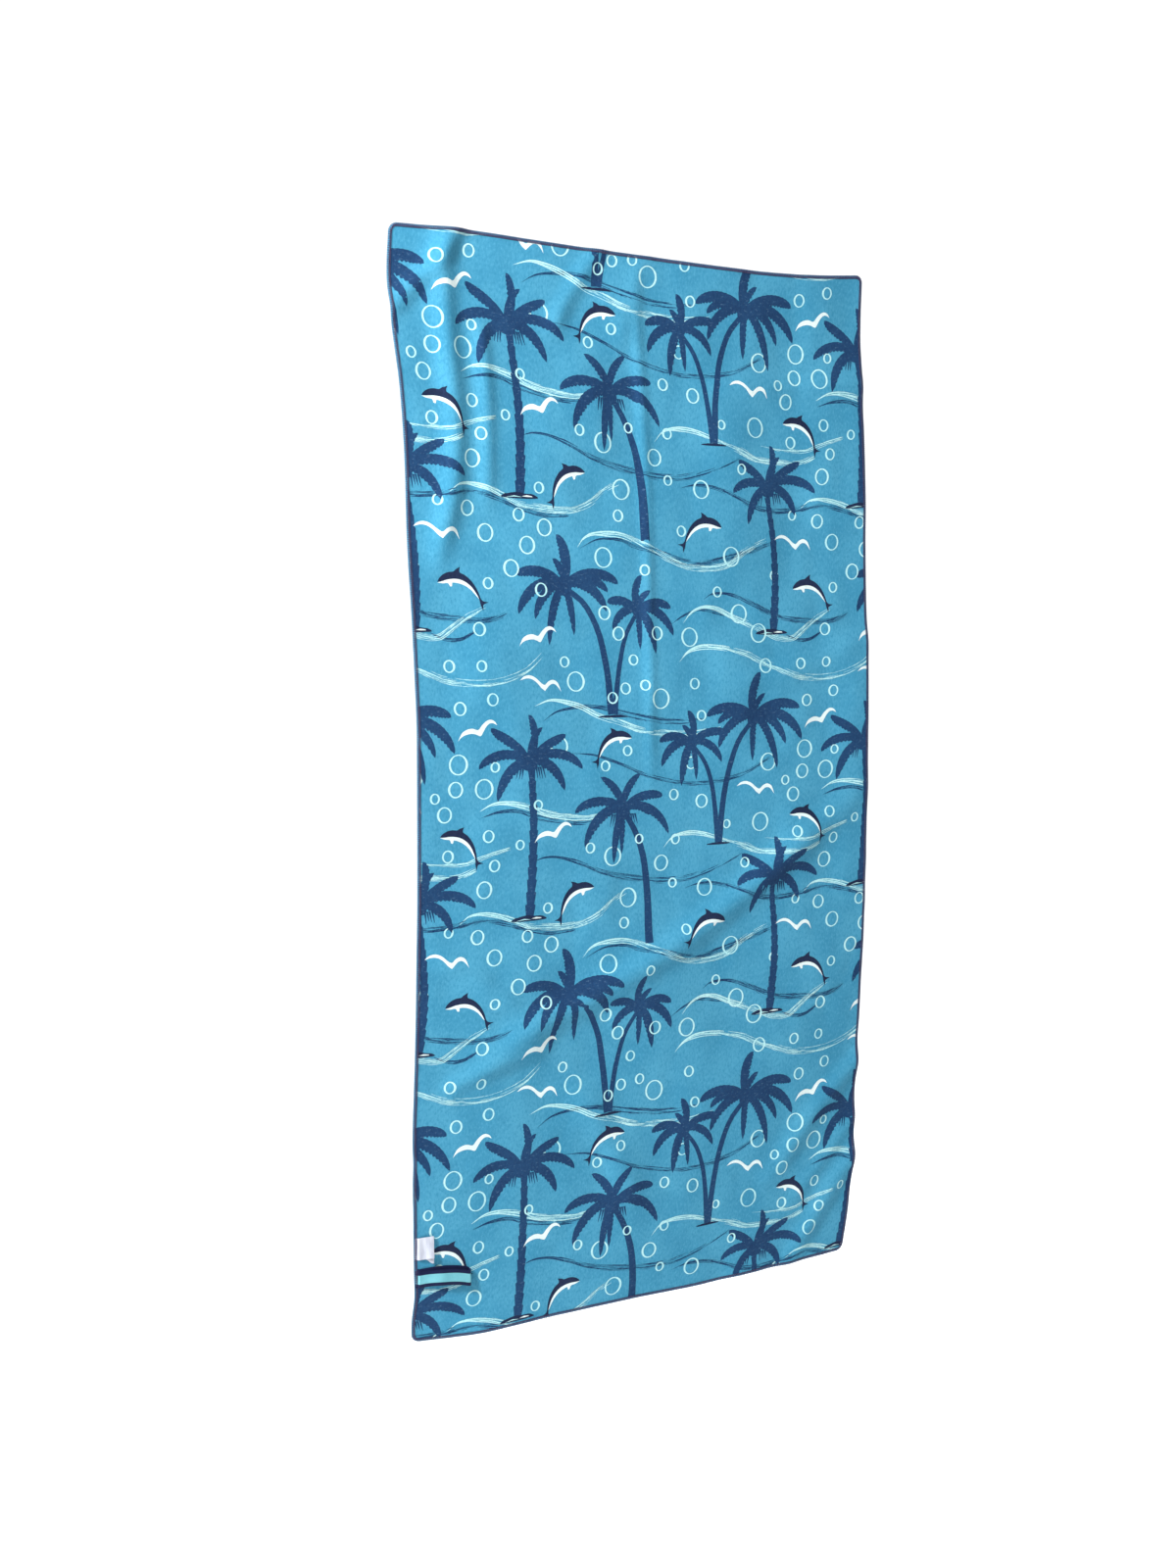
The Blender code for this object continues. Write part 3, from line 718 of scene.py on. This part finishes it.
def one_repeat():
    """Every shape of one repeat: (ink, outline, hole) from the lowest to the topmost."""
    shapes = []
    for k, (ink, path, spread, strands, crest) in enumerate(BRUSHED):
        for outline in brushed(path, spread, strands, crest, 40 + k):
            shapes.append((ink, outline, None))
    for k, (x, y, r) in enumerate(BUBBLES_BEHIND):
        shapes.append(("pale", *ring(x, y, r, 300 + k)))
    for k, spec in enumerate(PALMS):
        for outline in palm(spec, 90 + k):
            shapes.append(("navy", outline, None))
    for x, y, w, h in GROUND_LINES:
        rng = np.random.default_rng(int(x))
        a = np.linspace(math.pi, 2 * math.pi, 15)
        top = np.stack([x + w * np.cos(a), y + h * np.sin(a) * (0.85 + 0.3 * rng.random(15))], 1)
        b = np.linspace(0, math.pi, 11)[1:-1]
        low = np.stack([x + w * np.cos(b), y + 0.28 * h * np.sin(b)], 1)
        shapes.append(("dark", np.r_[top, low], None))
        if h > 4:
            shapes.append(("white", np.array([[x + 4, y - 1.6], [x + 12, y - 3.4], [x + 20, y - 2.4],
                                              [x + 21, y - 1.2], [x + 12, y - 1.0]]), None))
            shapes.append(("pale", np.array([[x - 22, y + 0.6], [x - 8, y - 2.2], [x + 4, y - 0.4],
                                             [x - 8, y - 0.6]]), None))
    for nose, tail in DOLPHINS:
        back, belly = dolphin(nose, tail)
        shapes.append(("white", belly, None))
        shapes.append(("dark", back, None))
    for k, (x, y, r) in enumerate(BUBBLES):
        shapes.append(("pale", *ring(x, y, r, 500 + k)))
    for centres, outline in ((GULLS_RISING, GULL_RISING), (GULLS_LEVEL, GULL_LEVEL)):
        for x, y in centres:
            shapes.append(("white", rounded(outline) + np.array([x, y], float), None))
    return shapes


INSET = 2.5
SQUARE_W, SQUARE_H = TOWEL_W * 1000, TOWEL_H * 1000
CUT = (2 - math.sqrt(2)) * CORNER_R * 1000 + INSET * math.sqrt(2)
HALF_PLANES = (
    (1, 0, INSET), (-1, 0, INSET - SQUARE_W), (0, 1, INSET), (0, -1, INSET - SQUARE_H),
    (1, 1, CUT), (-1, 1, CUT - SQUARE_W), (1, -1, CUT - SQUARE_H),
    (-1, -1, CUT - SQUARE_W - SQUARE_H),
)


N_U, N_V = 152, 304


TILE = 19                                            # cells of the cloth's grid to a tile


def clip_to(poly, planes):
    p = poly
    for a, b, c in planes:
        d = [a * x + b * y - c for x, y in p]
        if min(d) >= 0:
            continue
        if max(d) <= 0:
            return None
        out = []
        for i in range(len(p)):
            j = (i + 1) % len(p)
            if d[i] >= 0:
                out.append(p[i])
            if (d[i] >= 0) != (d[j] >= 0):
                t = d[i] / (d[i] - d[j])
                out.append((p[i][0] + t * (p[j][0] - p[i][0]), p[i][1] + t * (p[j][1] - p[i][1])))
        p = out
        if len(p) < 3:
            return None
    return p


def covers(poly, px, py):
    """Which of the points lie inside an outline, overlaps of the outline counting as inside."""
    q = np.asarray(poly, float)
    x1, y1 = q[:, 0][:, None], q[:, 1][:, None]
    x2, y2 = np.roll(q[:, 0], -1)[:, None], np.roll(q[:, 1], -1)[:, None]
    turn = (x2 - x1) * (py - y1) - (px - x1) * (y2 - y1)
    up = (y1 <= py) & (y2 > py) & (turn > 0)
    down = (y1 > py) & (y2 <= py) & (turn < 0)
    return (up.sum(0) - down.sum(0)) != 0


def print_layout():
    """Cuts the flat print into triangles, each with one ink, a tile of the cloth at a time."""
    todo = []
    for ink, outline, hole in one_repeat():
        for i in (-2, -1, 0, 1):
            for j in (-2, -1, 0, 1, 2):
                move = np.array([i * REPEAT, j * REPEAT])
                p = laid(outline + move)
                if (p[:, 0].max() < 0 or p[:, 0].min() > SQUARE_W
                        or p[:, 1].max() < 0 or p[:, 1].min() > SQUARE_H):
                    continue
                whole = clip_to([tuple(q) for q in p], HALF_PLANES)
                if whole is None:
                    continue
                inside = None
                if hole is not None:
                    inside = clip_to([tuple(q) for q in laid(hole + move)], HALF_PLANES)
                q = np.array(whole)
                todo.append((ink, whole, inside, *q.min(0), *q.max(0)))
    cell = SQUARE_W / N_U
    where, verts, tris, inks = {}, [], [], []
    for ti in range(0, N_U, TILE):
        for tj in range(0, N_V, TILE):
            x0, x1, y0, y1 = ti * cell, (ti + TILE) * cell, tj * cell, (tj + TILE) * cell
            planes = ((1, 0, x0), (-1, 0, -x1), (0, 1, y0), (0, -1, -y1))
            coords, edges, parts = [], [], []
            hit = np.zeros((TILE + 1, TILE + 1), bool)
            for ink, whole, inside, ax, ay, bx, by in todo:
                if ax >= x1 or bx <= x0 or ay >= y1 or by <= y0:
                    continue
                part = clip_to(whole, planes)
                if part is None:
                    continue
                q = np.array(part)
                lo = np.clip(np.floor((q.min(0) - (x0, y0)) / cell).astype(int), 0, TILE)
                hi = np.clip(np.ceil((q.max(0) - (x0, y0)) / cell).astype(int), 0, TILE)
                hit[lo[0]:hi[0] + 1, lo[1]:hi[1] + 1] = True
                hollow = clip_to(inside, planes) if inside is not None else None
                for poly in (part, hollow):
                    if poly is not None:
                        k, n = len(coords), len(poly)
                        edges.extend((k + e, k + (e + 1) % n) for e in range(n))
                        coords.extend(poly)
                parts.append((ink, part, hollow))
            if not parts:
                continue
            i, j = np.nonzero(hit)
            points = [Vector(c) for c in coords]
            points += [Vector((x0 + a * cell, y0 + b * cell)) for a, b in zip(i, j)]
            out = geometry.delaunay_2d_cdt(points, edges, [], 0, 1e-4, False)
            flat = np.array([tuple(v) for v in out[0]])
            faces = np.array(out[2])
            middle = flat[faces].mean(1)
            chosen = np.full(len(faces), -1)
            for ink, part, hollow in parts:
                q = np.asarray(part, float)
                near = np.nonzero((middle[:, 0] > q[:, 0].min()) & (middle[:, 0] < q[:, 0].max())
                                  & (middle[:, 1] > q[:, 1].min())
                                  & (middle[:, 1] < q[:, 1].max()))[0]
                if not len(near):
                    continue
                px, py = middle[near, 0], middle[near, 1]
                yes = covers(part, px, py)
                if hollow is not None:
                    yes &= ~covers(hollow, px, py)
                chosen[near[yes]] = INKS.index(ink)
            local = []
            for x, y in flat:
                key = (round(x * 500), round(y * 500))
                if key not in where:
                    where[key] = len(verts)
                    verts.append((x, y))
                local.append(where[key])
            for face, ink in zip(faces, chosen):
                if ink >= 0:
                    t = tuple(local[k] for k in face)
                    if len(set(t)) == 3:
                        tris.append(t)
                        inks.append(INKS[ink])
    return np.array(verts), tris, inks


INKS = ("navy", "dark", "white", "pale")


def film(name, verts, tris, material, low, high):
    """A thin closed film of ink over the given triangles of flat cloth."""
    used = sorted({k for t in tris for k in t})
    index = {k: i for i, k in enumerate(used)}
    flat = verts[used] / 1000.0
    n = len(used)
    normal = front_normal(flat[:, 0], flat[:, 1])
    middle = drape(flat[:, 0], flat[:, 1])
    side = 1.0 if high > low else -1.0
    points = np.r_[middle + normal * high, middle + normal * low]
    edge = {}
    top = []
    for t in tris:
        a, b, c = (index[k] for k in t)
        p, q, r = flat[a], flat[b], flat[c]
        area = (q[0] - p[0]) * (r[1] - p[1]) - (q[1] - p[1]) * (r[0] - p[0])
        if abs(area) < 1e-13:
            continue
        # seen from the front, u to the right and v down: counter-clockwise has area < 0
        if (area > 0) == (side > 0):
            b, c = c, b
        top.append((a, b, c))
        for e in ((a, b), (b, c), (c, a)):
            edge[e] = edge.get(e, 0) + 1
    faces = list(top) + [(c + n, b + n, a + n) for a, b, c in top]
    faces += [(b, a, a + n, b + n) for (a, b) in edge if (b, a) not in edge]
    normals = np.r_[normal * side, -normal * side]
    uv = np.r_[flat, flat]
    ob = make(name, points, faces, [material], normals=normals, uv=uv)
    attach(ob, ROOT)
    return ob


ROOT = "towel"

# =====================================================================================
# The cloth
# =====================================================================================
def build_cloth():
    gu, gv = np.meshgrid(np.linspace(0, TOWEL_W, N_U + 1), np.linspace(0, TOWEL_H, N_V + 1),
                         indexing="ij")
    fu, fv = round_corners(gu.ravel(), gv.ravel())
    middle = drape(fu, fv)
    ob = make("towel_cloth_sheet", middle, grid_faces(N_U, N_V, flip=True), [GROUND, BACK],
              uv=np.stack([fu, fv], 1))
    thick = ob.modifiers.new("thickness", "SOLIDIFY")
    thick.thickness = CLOTH_T
    thick.offset = 0.0
    thick.material_offset = 1
    thick.material_offset_rim = 0
    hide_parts("towel_cloth")
    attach(ob, ROOT)
    return ob


cloth = build_cloth()

verts, tris, inks = print_layout()
print("PRINT", len(verts), "points", len(tris), "triangles",
      {k: inks.count(k) for k in set(inks)})
LIFT_LOW, LIFT_HIGH = CLOTH_T / 2 + 0.00003, CLOTH_T / 2 + 0.00014
for ink, material in (("navy", INK_NAVY), ("dark", INK_DARK), ("white", INK_WHITE),
                      ("pale", INK_PALE)):
    chosen = [t for t, k in zip(tris, inks) if k == ink]
    ob = film("print_" + ink, verts, chosen, material, LIFT_LOW, LIFT_HIGH)
chosen = [t for t, k in zip(tris, inks) if k in ("navy", "dark")]
ghost = film("print_strike_through_back", verts, chosen, BACK_PRINT, -LIFT_LOW, -LIFT_HIGH)

# =====================================================================================
# The overlock seam: three threads round the whole edge
# =====================================================================================
def edge_run(s):
    """A place s metres along the cut edge: flat point and outward direction."""
    w, h, r = TOWEL_W, TOWEL_H, CORNER_R
    parts = [w - 2 * r, math.pi * r / 2, h - 2 * r, math.pi * r / 2,
             w - 2 * r, math.pi * r / 2, h - 2 * r, math.pi * r / 2]
    starts = np.r_[0, np.cumsum(parts)]
    s = np.mod(s, starts[-1])
    k = np.clip(np.searchsorted(starts, s, side="right") - 1, 0, 7)
    t = s - starts[k]
    u, v = np.zeros_like(s), np.zeros_like(s)
    nu, nv = np.zeros_like(s), np.zeros_like(s)
    for i, (cu, cv, a0) in {1: (w - r, r, -90), 3: (w - r, h - r, 0), 5: (r, h - r, 90),
                            7: (r, r, 180)}.items():
        m = k == i
        a = np.radians(a0) + t[m] / r
        nu[m], nv[m] = np.cos(a), np.sin(a)
        u[m], v[m] = cu + r * nu[m], cv + r * nv[m]
    for i, (u0, v0, du, dv, a, b) in {0: (r, 0, 1, 0, 0, -1), 2: (w, r, 0, 1, 1, 0),
                                      4: (w - r, h, -1, 0, 0, 1), 6: (0, h - r, 0, -1, -1, 0)}.items():
        m = k == i
        u[m], v[m] = u0 + du * t[m], v0 + dv * t[m]
        nu[m], nv[m] = a, b
    return u, v, nu, nv


EDGE_LENGTH = 2 * (TOWEL_W + TOWEL_H) - 8 * CORNER_R + 2 * math.pi * CORNER_R
STITCHES = 1600
PITCH = EDGE_LENGTH / STITCHES


def under_strap(u, v):
    """How much higher the seam runs over the ends of the loop and the label."""
    left = ease((0.02 - u) / 0.005)
    strap = ease((v - 1.4790) / 0.0035) * ease((1.5105 - v) / 0.0035)
    ribbon = ease((v - (LABEL_TOP - 0.001)) / 0.002) * ease((LABEL_TOP + LABEL_W + 0.002 - v) / 0.002)
    return left * (0.00125 * strap + 0.00045 * ribbon)


def strand(name, s, inset, lift, wrap, half_w, half_h, material, sections=4):
    """One thread that closes on itself, swept along the seam."""
    u, v, nu, nv = edge_run(s)
    pu, pv = u - inset * nu, v - inset * nv
    normal = front_normal(pu, pv)
    centre = drape(pu, pv) + normal * lift[:, None]
    tangent = np.roll(centre, -1, 0) - np.roll(centre, 1, 0)
    tangent /= np.linalg.norm(tangent, axis=1, keepdims=True)
    outward = drape(pu + 0.001 * nu, pv + 0.001 * nv) - drape(pu - 0.001 * nu, pv - 0.001 * nv)
    outward /= np.linalg.norm(outward, axis=1, keepdims=True)
    flatness = normal * np.cos(wrap)[:, None] + outward * np.sin(wrap)[:, None]
    side = np.cross(tangent, flatness)
    side /= np.linalg.norm(side, axis=1, keepdims=True)
    up = np.cross(side, tangent)
    n = len(s)
    rows = []
    for k in range(sections):
        a = 2 * math.pi * k / sections
        rows.append(centre + side * (half_w * math.cos(a)) + up * (half_h * math.sin(a)))
    points = np.stack(rows, 1).reshape(-1, 3)
    i = np.arange(n)
    j = (i + 1) % n
    faces = []
    for k in range(sections):
        m = (k + 1) % sections
        faces.append(np.stack([i * sections + k, i * sections + m, j * sections + m,
                               j * sections + k], 1))
    faces = np.concatenate(faces)
    step = np.linalg.norm(np.diff(centre, axis=0, append=centre[:1]), axis=1)
    run = np.r_[0, np.cumsum(step)[:-1]] * 900.0
    uv = np.stack([np.repeat(run, sections), np.tile(np.arange(sections) * 1.6, n)], 1)
    ob = make(name, points, faces[:, ::-1], [material], uv=uv)
    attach(ob, ROOT)
    return ob


def looper(name, node, front):
    per = 8
    k = np.arange(STITCHES * per)
    t = (k % per) / per
    s = (k / per) * PITCH
    rng = np.random.default_rng(21 if front else 22)
    ragged = np.repeat(rng.normal(0, 0.00010, STITCHES), per)
    mid, swing = (0.0020, 0.0027) if front else (0.0020, 0.0026)
    inset = mid + swing * np.cos(2 * math.pi * t) + ragged * (t > 0.1) * (t < 0.9) * 0.6
    s = s + 0.00035 * np.sin(2 * math.pi * t)
    u, v, _, _ = edge_run(s)
    height = CLOTH_T / 2 + 0.00014 + 0.00030
    if front:
        height = height + under_strap(u, v)
    close = ease((0.00045 - inset) / 0.0012)
    lift = height * (1 - close) + 0.00010 * close
    lift = lift + 0.00012 * np.sin(math.pi * t) ** 2 * (1 - close)
    if not front:
        lift = -lift
    wrap = close * (math.pi / 2) * (1 if front else -1)
    ob = strand(name, s, inset, lift, wrap if front else math.pi - wrap, 0.00058, 0.00025, THREAD)
    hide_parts(node)
    return ob


threads = [looper("overlock_upper_looper", "overlock_upper_looper_thread", True),
           looper("overlock_lower_looper", "overlock_lower_looper_thread", False)]


def needle_thread():
    per = 4
    k = np.arange(STITCHES * per)
    t = (k % per) / per
    s = (k / per) * PITCH
    inset = np.full(len(s), NEEDLE_IN)
    u, v, _, _ = edge_run(s)
    rise = np.choose((k % per), (0.00015, 0.00135, 0.00150, 0.00135))
    lift = rise + under_strap(u, v)
    ob = strand("overlock_needle", s, inset, lift, np.zeros(len(s)), 0.00026, 0.00022, THREAD)
    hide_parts("overlock_needle_thread")
    return ob


threads.append(needle_thread())

# =====================================================================================
# The hanging loop
# =====================================================================================
def smooth_path(points, count):
    pts = np.array(points, float)
    d = np.r_[0, np.cumsum(np.linalg.norm(np.diff(pts[:, :2], axis=0), axis=1))]
    t = np.linspace(0, d[-1], count)
    return np.stack([through(list(zip(d, pts[:, k])), t) for k in range(pts.shape[1])], 1)


def hanging_loop():
    """Webbing from the seam, along the cloth, round its open end and back to the seam."""
    rear, thick = -0.00080, 0.0011
    front = rear + thick + LOOP_GAP
    r = (front - rear) / 2
    straight = LOOP_L - r
    surf = drape(np.array([0.0055]), np.array([LOOP_V]))[0]
    base = surf[1] - LOOP_HINGE[1]                   # the cloth's middle behind the hinge line
    edge_x = drape(np.array([0.0]), np.array([LOOP_V]))[0][0]
    s_in = edge_x + 0.0010 - LOOP_HINGE[0]
    low = -base + CLOTH_T / 2 + 0.00014
    path = [(s_in, low + 0.00036, 1.0), (s_in + 0.0022, low + 0.00038, 1.0),
            (s_in + 0.0042, low + 0.00070, 1.0), (0.0004, rear - 0.00006, 1.0),
            (0.0030, rear, 1.0)]
    path += [(s, rear + 0.00012 * math.sin(s * 90), 1.0) for s in np.linspace(0.008, straight, 9)]
    for a in np.linspace(0.12, 0.88, 7) * math.pi:
        path.append((straight + r * math.sin(a), rear + r * (1 - math.cos(a)), 1 - a / math.pi))
    for s in np.linspace(straight - 0.002, 0.0085, 12):
        opened = float(ease((s - 0.0085) / 0.032))
        path.append((s, -rear + (front + rear) * opened, 0.0))
    path += [(0.0030, -rear, 0.0), (0.0004, -rear - 0.0002, 0.0),
             (s_in + 0.0042, low + 0.00140, 0.0), (s_in + 0.0022, low + 0.00103, 0.0),
             (s_in, low + 0.00100, 0.0)]
    count = 300
    line = smooth_path(path, count)
    s, n, shift = line[:, 0], line[:, 1], line[:, 2]
    droop = LOOP_DROOP * (np.clip(s, 0, None) / LOOP_L) ** 2.6
    centre = np.stack([LOOP_HINGE[0] + s, LOOP_HINGE[1] - n, -LOOP_V - droop + LOOP_SHIFT * shift], 1)
    flat_run = np.stack([s, n], 1)
    tangent = np.gradient(centre, axis=0)
    tangent /= np.linalg.norm(tangent, axis=1, keepdims=True)
    across = np.tile(np.array([0.0, 0.0, 1.0]), (count, 1))
    out = np.cross(tangent, across)
    out /= np.linalg.norm(out, axis=1, keepdims=True)
    # thickness: pressed thin where the seam holds it
    seam = np.clip((0.0012 - s) / 0.0030, 0, 1)
    half_t = 0.00052 - 0.00024 * ease(seam)
    w = STRAP_W / 2
    # section: rounded tape, wide faces split where the stripes meet the edges
    # the navy borders are wider on the inner face of the loop than on the outer face
    def face(border):
        return (-w, -w + 0.00025, -border - 0.0001, -border + 0.0001, -0.0035, 0.0, 0.0035,
                border - 0.0001, border + 0.0001, w - 0.00025, w)
    inner = [(a, 1.0 if abs(a) < w - 0.0001 else 0.0) for a in face(0.0056)]
    outer = [(a, -1.0 if abs(a) < w - 0.0001 else 0.0) for a in face(0.0070)]
    ring_pts = inner + outer[-2:0:-1]
    ring_pts = [(a, h * (0.62 if abs(abs(a) - (w - 0.00025)) < 1e-6 else 1.0)) for a, h in ring_pts]
    m = len(ring_pts)
    crown = np.array([0.00005 * math.cos(math.pi * a / STRAP_W) for a, _ in ring_pts])
    points = np.concatenate([
        centre + across * a + out * (half_t * h + c)[:, None]
        for (a, h), c in zip(ring_pts, crown)]).reshape(m, count, 3)
    points = points.transpose(1, 0, 2).reshape(-1, 3)
    faces, index = [], []
    for i in range(count - 1):
        for k in range(m):
            j = (k + 1) % m
            faces.append((i * m + k, (i + 1) * m + k, (i + 1) * m + j, i * m + j))
            a = (ring_pts[k][0] + ring_pts[j][0]) / 2
            border = 0.0056 if ring_pts[k][1] > 0 else 0.0070
            index.append(0 if abs(a) < border - 0.00005 else 1)
    faces.append(tuple(range(m)))
    faces.append(tuple((count - 1) * m + k for k in range(m))[::-1])
    index += [1, 1]
    step = np.r_[0, np.cumsum(np.linalg.norm(np.diff(flat_run, axis=0), axis=1))]
    lane = np.array([a + (0.03 if k > m // 2 else 0.0) for k, (a, _) in enumerate(ring_pts)])
    uv = np.stack([np.repeat(step, m), np.tile(lane, count)], 1)
    ob = make("hanging_loop_webbing", points, faces, [WEB_MINT, WEB_NAVY], indices=index, uv=uv)
    ob.data.set_sharp_from_angle(angle=math.radians(70))
    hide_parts("hanging_loop")
    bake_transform(ob)
    return ob


strap = hanging_loop()

# =====================================================================================
# The care label: two satin leaves, with no words on them
# =====================================================================================
def leaf(name, node, front):
    nx, ny = 48, 30
    surf = drape(np.array([0.0052]), np.array([LABEL_TOP + LABEL_W / 2]))[0]
    base = surf[1] - LABEL_HINGE[1]
    edge_x = drape(np.array([0.0]), np.array([LABEL_TOP + LABEL_W / 2]))[0][0]
    s_in = edge_x + 0.0010 - LABEL_HINGE[0]
    low = -base + CLOTH_T / 2 + 0.00014
    reach = LABEL_L + (0.0 if front else 0.0008)
    i, j = np.meshgrid(np.arange(nx + 1), np.arange(ny + 1), indexing="ij")
    s = s_in + (reach - s_in) * (i / nx)
    t = j / ny
    curl = ease((s - 0.0060) / 0.016)
    flare = 0.0009 * curl * (1 - t) ** 2
    if front:
        n = 0.0006 + 0.0022 * curl + flare + 0.00025 * np.sin(t * 9 + 1.0) * curl
        drop = 0.0
        root = low + 0.00045
    else:
        n = -0.0006 + 0.0007 * curl + 0.00012 * np.sin(t * 7) * curl
        drop = 0.0008 + 0.0085 * ease((s - 0.011) / 0.012) * (1 - t)
        root = low + 0.00018
    join = ease((s - s_in - 0.0030) / (0.0008 - s_in - 0.0022))
    # the cloth leans a little behind the label, so the sewn end leans with it
    lean = drape(np.full(ny + 1, 0.0052), LABEL_TOP + LABEL_W * (1 - np.arange(ny + 1) / ny))[:, 1]
    root = root + (surf[1] - lean)[None, :]
    n = root * (1 - join) + n * join
    x = LABEL_HINGE[0] + s
    y = LABEL_HINGE[1] - n
    z = -(LABEL_TOP + LABEL_W / 2) + LABEL_W * (t - 0.5) - drop
    points = np.stack([x, y, z], -1).reshape(-1, 3)
    ob = make(name, points, grid_faces(nx, ny), [SATIN],
              uv=np.stack([s.ravel(), t.ravel() * LABEL_W], 1))
    thick = ob.modifiers.new("thickness", "SOLIDIFY")
    thick.thickness = 0.00022
    thick.offset = 0.0
    mesh = bpy.data.meshes.new_from_object(ob.evaluated_get(bpy.context.evaluated_depsgraph_get()))
    ob.modifiers.clear()
    ob.data = mesh
    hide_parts(node)
    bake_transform(ob)
    return ob


leaf_front = leaf("care_label_leaf_front", "care_label_front_leaf", True)
leaf_rear = leaf("care_label_leaf_rear", "care_label_rear_leaf", False)

# =====================================================================================
# Studio
# =====================================================================================
def stage_material():
    n = Nodes("studio_floor")
    grain = n.noise(n.add("ShaderNodeTexCoord").outputs["Object"], 3.0, 2.0, 0.5)
    # the floor is a little greyer in front of the towel, so that less light comes from below
    place = n.m.node_tree.nodes.new("ShaderNodeSeparateXYZ")
    n.m.node_tree.links.new(n.add("ShaderNodeTexCoord").outputs["Object"], place.inputs[0])
    back = n.m.node_tree.nodes.new("ShaderNodeMapRange")
    back.interpolation_type = "SMOOTHSTEP"
    back.inputs["From Min"].default_value = -1.1
    back.inputs["From Max"].default_value = 0.7
    n.m.node_tree.links.new(place.outputs[1], back.inputs["Value"])
    pale = n.mix((0.93, 0.93, 0.93, 1), (0.96, 0.96, 0.96, 1), grain)
    n.put(n.p.inputs["Base Color"], n.mix((0.76, 0.76, 0.76, 1), pale, back.outputs[0]))
    n.p.inputs["Roughness"].default_value = 0.9
    n.p.inputs["Specular IOR Level"].default_value = 0.1
    # painted light: the floor glows at full strength behind the towel and fades to no glow in front of
    # it
    n.p.inputs["Emission Color"].default_value = (1.0, 1.0, 1.0, 1.0)
    n.put(n.p.inputs["Emission Strength"], n.math("MULTIPLY", back.outputs[0], 0.36))
    return n.m


bpy.ops.mesh.primitive_plane_add(size=40, location=(0, 0, -2.05))
floor = bpy.context.object
floor.name = "studio_floor"
floor.data.materials.append(stage_material())

world = bpy.data.worlds.new("studio")
bpy.context.scene.world = world
world.use_nodes = True
wt = world.node_tree
direction = wt.nodes.new("ShaderNodeTexCoord").outputs["Generated"]
split = wt.nodes.new("ShaderNodeSeparateXYZ")
wt.links.new(direction, split.inputs[0])
brightness = wt.nodes.new("ShaderNodeMapRange")
brightness.interpolation_type = "SMOOTHSTEP"
brightness.inputs["From Min"].default_value = -0.48
brightness.inputs["From Max"].default_value = 0.22
brightness.inputs["To Min"].default_value = 0.20
brightness.inputs["To Max"].default_value = 1.12
wt.links.new(split.outputs[1], brightness.inputs["Value"])
wt.nodes["Background"].inputs[0].default_value = (1.0, 1.0, 1.0, 1.0)
wt.links.new(brightness.outputs[0], wt.nodes["Background"].inputs[1])


def softbox(name, place, aim, size, power, color=(1, 1, 1)):
    light = bpy.data.lights.new(name, "AREA")
    light.shape = "RECTANGLE"
    light.size, light.size_y = size
    light.energy = power
    light.color = color
    ob = bpy.data.objects.new(name, light)
    ob.location = place
    ob.rotation_euler = (Vector(aim) - Vector(place)).to_track_quat("-Z", "Y").to_euler()
    bpy.context.scene.collection.objects.link(ob)
    return ob


softbox("key", (-2.7, -1.25, 0.75), (0.0, 0.0, -0.70), (0.45, 0.45), 180.0)
softbox("fill", (1.6, -3.6, 0.2), (0.0, 0.0, -0.6), (2.4, 2.4), 4.0)
softbox("back_fill", (2.2, 1.5, 1.0), (0.0, 0.0, -0.8), (1.0, 1.0), 18.0)

scene = bpy.context.scene
scene.view_settings.view_transform = "Standard"
scene.view_settings.look = "None"
scene.view_settings.exposure = 0.0
scene.view_settings.gamma = 1.0

# camera at the viewing angle: left of the towel, a little above its middle
camera = bpy.data.cameras.new("camera")
camera_ob = bpy.data.objects.new("camera", camera)
bpy.context.scene.collection.objects.link(camera_ob)
yaw, pitch, roll = math.radians(29.149), math.radians(-9.577), math.radians(-0.251)
forward = Vector((math.sin(yaw) * math.cos(pitch), math.cos(yaw) * math.cos(pitch), math.sin(pitch)))
right = Vector((math.cos(yaw), -math.sin(yaw), 0.0))
up = right.cross(forward)
right2 = right * math.cos(roll) + up * math.sin(roll)
up2 = up * math.cos(roll) - right * math.sin(roll)
from mathutils import Matrix
m = Matrix((right2, up2, -forward)).transposed().to_4x4()
m.translation = Vector((-1.3536, -2.2527, -0.5121))
camera_ob.matrix_world = m
camera.sensor_fit = "AUTO"
camera.sensor_width = 36.0
camera.lens = 1754.4 / 1600.0 * 36.0
camera.shift_x = 0.0
camera.shift_y = (916.2 - 800.0) / 1600.0
camera.clip_start = 0.05
camera.clip_end = 100.0
camera.dof.use_dof = False
scene.camera = camera_ob
